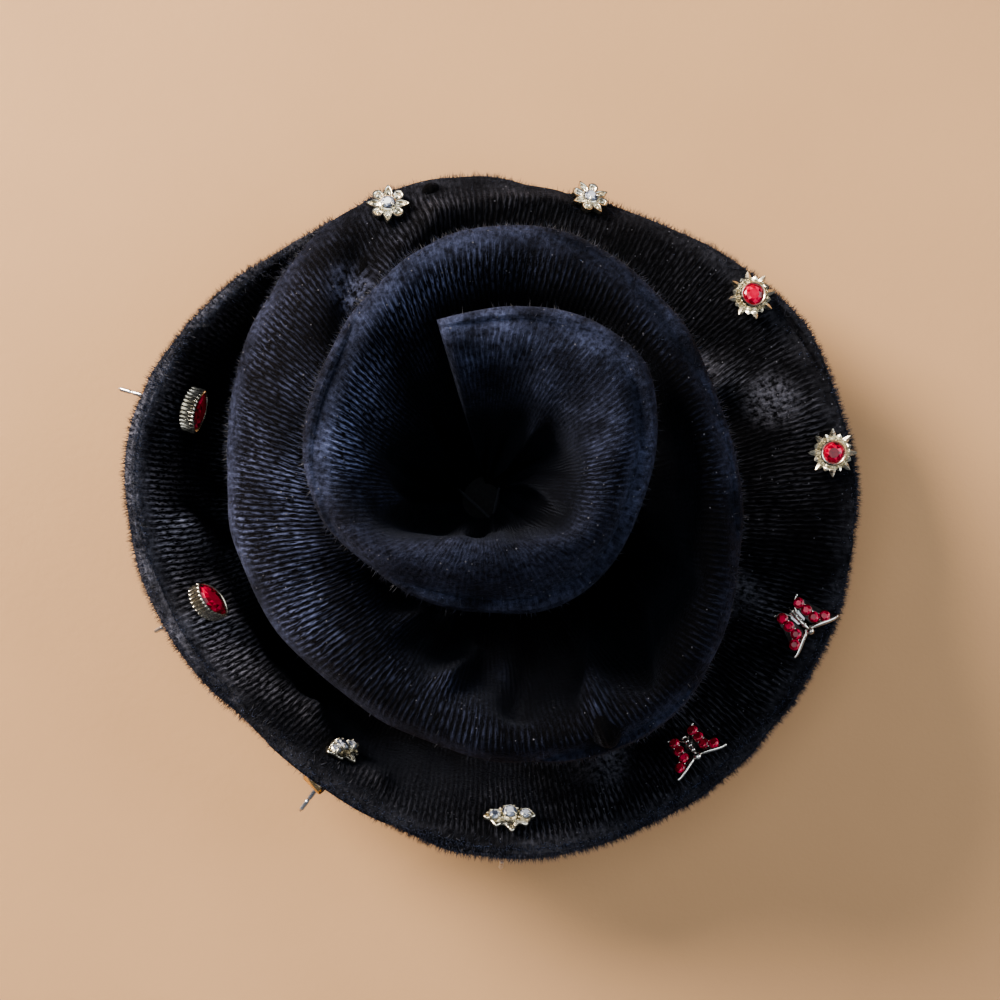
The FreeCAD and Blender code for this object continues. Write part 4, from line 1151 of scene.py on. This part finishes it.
def velvet_rose(strip):
    """One open sheet that goes up the folded strip's inner face and down its outer one."""
    ridges, crush_and_shimmer = strip.marks()
    strip.shape_cloth(ridges, crush_and_shimmer)
    obj = show("velvet_rose", strip.mesh(), "velvet", "root", "velvet_strip")
    # Openness darkens the velvet's colour as painted shade in the folds.
    fields = {"crush_and_shimmer": crush_and_shimmer, "open": strip.openness(obj), **strip.pile_fields(ridges)}
    for name, field in fields.items():
        layer = obj.data.attributes.new(name, "FLOAT", "POINT")
        layer.data.foreach_set("value", field.ravel())
    return obj


def pile_hairs(points):
    """Short hairs that stand off the fold's edge, where the pile shows against the light."""
    normals = surface_normals(points)
    shape = Shape()
    for _ in range(HAIRS):
        column = int((COLUMNS - 4) * noise_source.random() ** 0.6) + 2
        row = int(np.clip(round(ROWS / 2 + noise_source.normal() * 9), 2, ROWS - 3))
        part, other_part = noise_source.random(2)
        root = np.einsum("i,j,ijk->k", (1 - part, part), (1 - other_part, other_part),
                         points[column:column + 2, row:row + 2])
        out = normals[column, row] + noise_source.normal(size=3) * 0.35
        out /= np.linalg.norm(out)
        length = noise_source.uniform(0.45, 1.15)
        side = np.cross(out, noise_source.normal(size=3))
        side /= np.linalg.norm(side)
        other = np.cross(out, side)
        foot = [root - out * 0.1 + (side * math.cos(a) + other * math.sin(a)) * HAIR_WIDTH
                for a in angles_round(3)]
        shape.add(foot + [root + out * length], [(0, 2, 1), (0, 1, 3), (1, 2, 3), (2, 0, 3)])
    shape.make("pile_hairs", "pile", "root")


# ----------------------------------------------------------------------- stage

def finish_cad_nodes():
    """The pieces that are shown as they are in CAD get their own materials."""
    for name, obj in frame["nodes"].items():
        obj.data.materials.clear()
        obj.data.materials.append(MATERIALS[SLOTS[name]])


def make_stage():
    mesh = bpy.data.meshes.new("floor")
    reach = FLOOR_REACH * MM
    z = cad_box[0][2] - FLOOR_GAP * MM
    corners = [(-reach, -reach, z), (reach, -reach, z), (reach, reach, z), (-reach, reach, z)]
    mesh.from_pydata(corners, [], [(0, 1, 2, 3)])
    mesh.materials.append(floor_material())
    put("floor", mesh)


def make_light(name, spot, aim, size, power, colour):
    data = bpy.data.lights.new(name, "AREA")
    data.shape = "DISK"
    data.size = size
    data.energy = power
    data.color = colour
    obj = put(name, data)
    obj.location = spot
    obj.rotation_euler = (Vector(aim) - Vector(spot)).to_track_quat("-Z", "Y").to_euler()


def make_lights():
    """A warm window behind on the left, the cool room on the right, and a soft ceiling."""
    make_light("room", (0.48, 0.10, 0.34), (0, 0, 0.02), 0.40, 1.6, (0.86, 0.92, 1.0))
    make_light("window", (-0.50, 0.40, 0.36), (0, 0, 0.01), 0.34, 13, (1.0, 0.90, 0.80))
    make_light("sky", (-0.15, 0.05, 0.9), (0, 0, 0.01), 0.8, 3.2, (0.88, 0.93, 1.0))
    world = bpy.data.worlds.new("soft_room")
    bpy.context.scene.world = world
    world.use_nodes = True
    back = world.node_tree.nodes["Background"]
    back.inputs["Color"].default_value = (0.80, 0.88, 1.0, 1)
    back.inputs["Strength"].default_value = 0.17
    bpy.context.scene.view_settings.look = "AgX - Medium High Contrast"


def make_camera():
    """Straight above the rose, looking down."""
    data = bpy.data.cameras.new("camera")
    data.sensor_width = 36
    data.angle = math.radians(CAMERA_ANGLE)
    camera = put("camera", data)
    camera.location = Vector(CAMERA_SPOT) * MM
    bpy.context.scene.camera = camera


strip = Strip()
velvet = velvet_rose(strip)
jewellery()
felt_disc()
stitching()
pile_hairs(strip.points)
finish_cad_nodes()
make_stage()
make_lights()
make_camera()
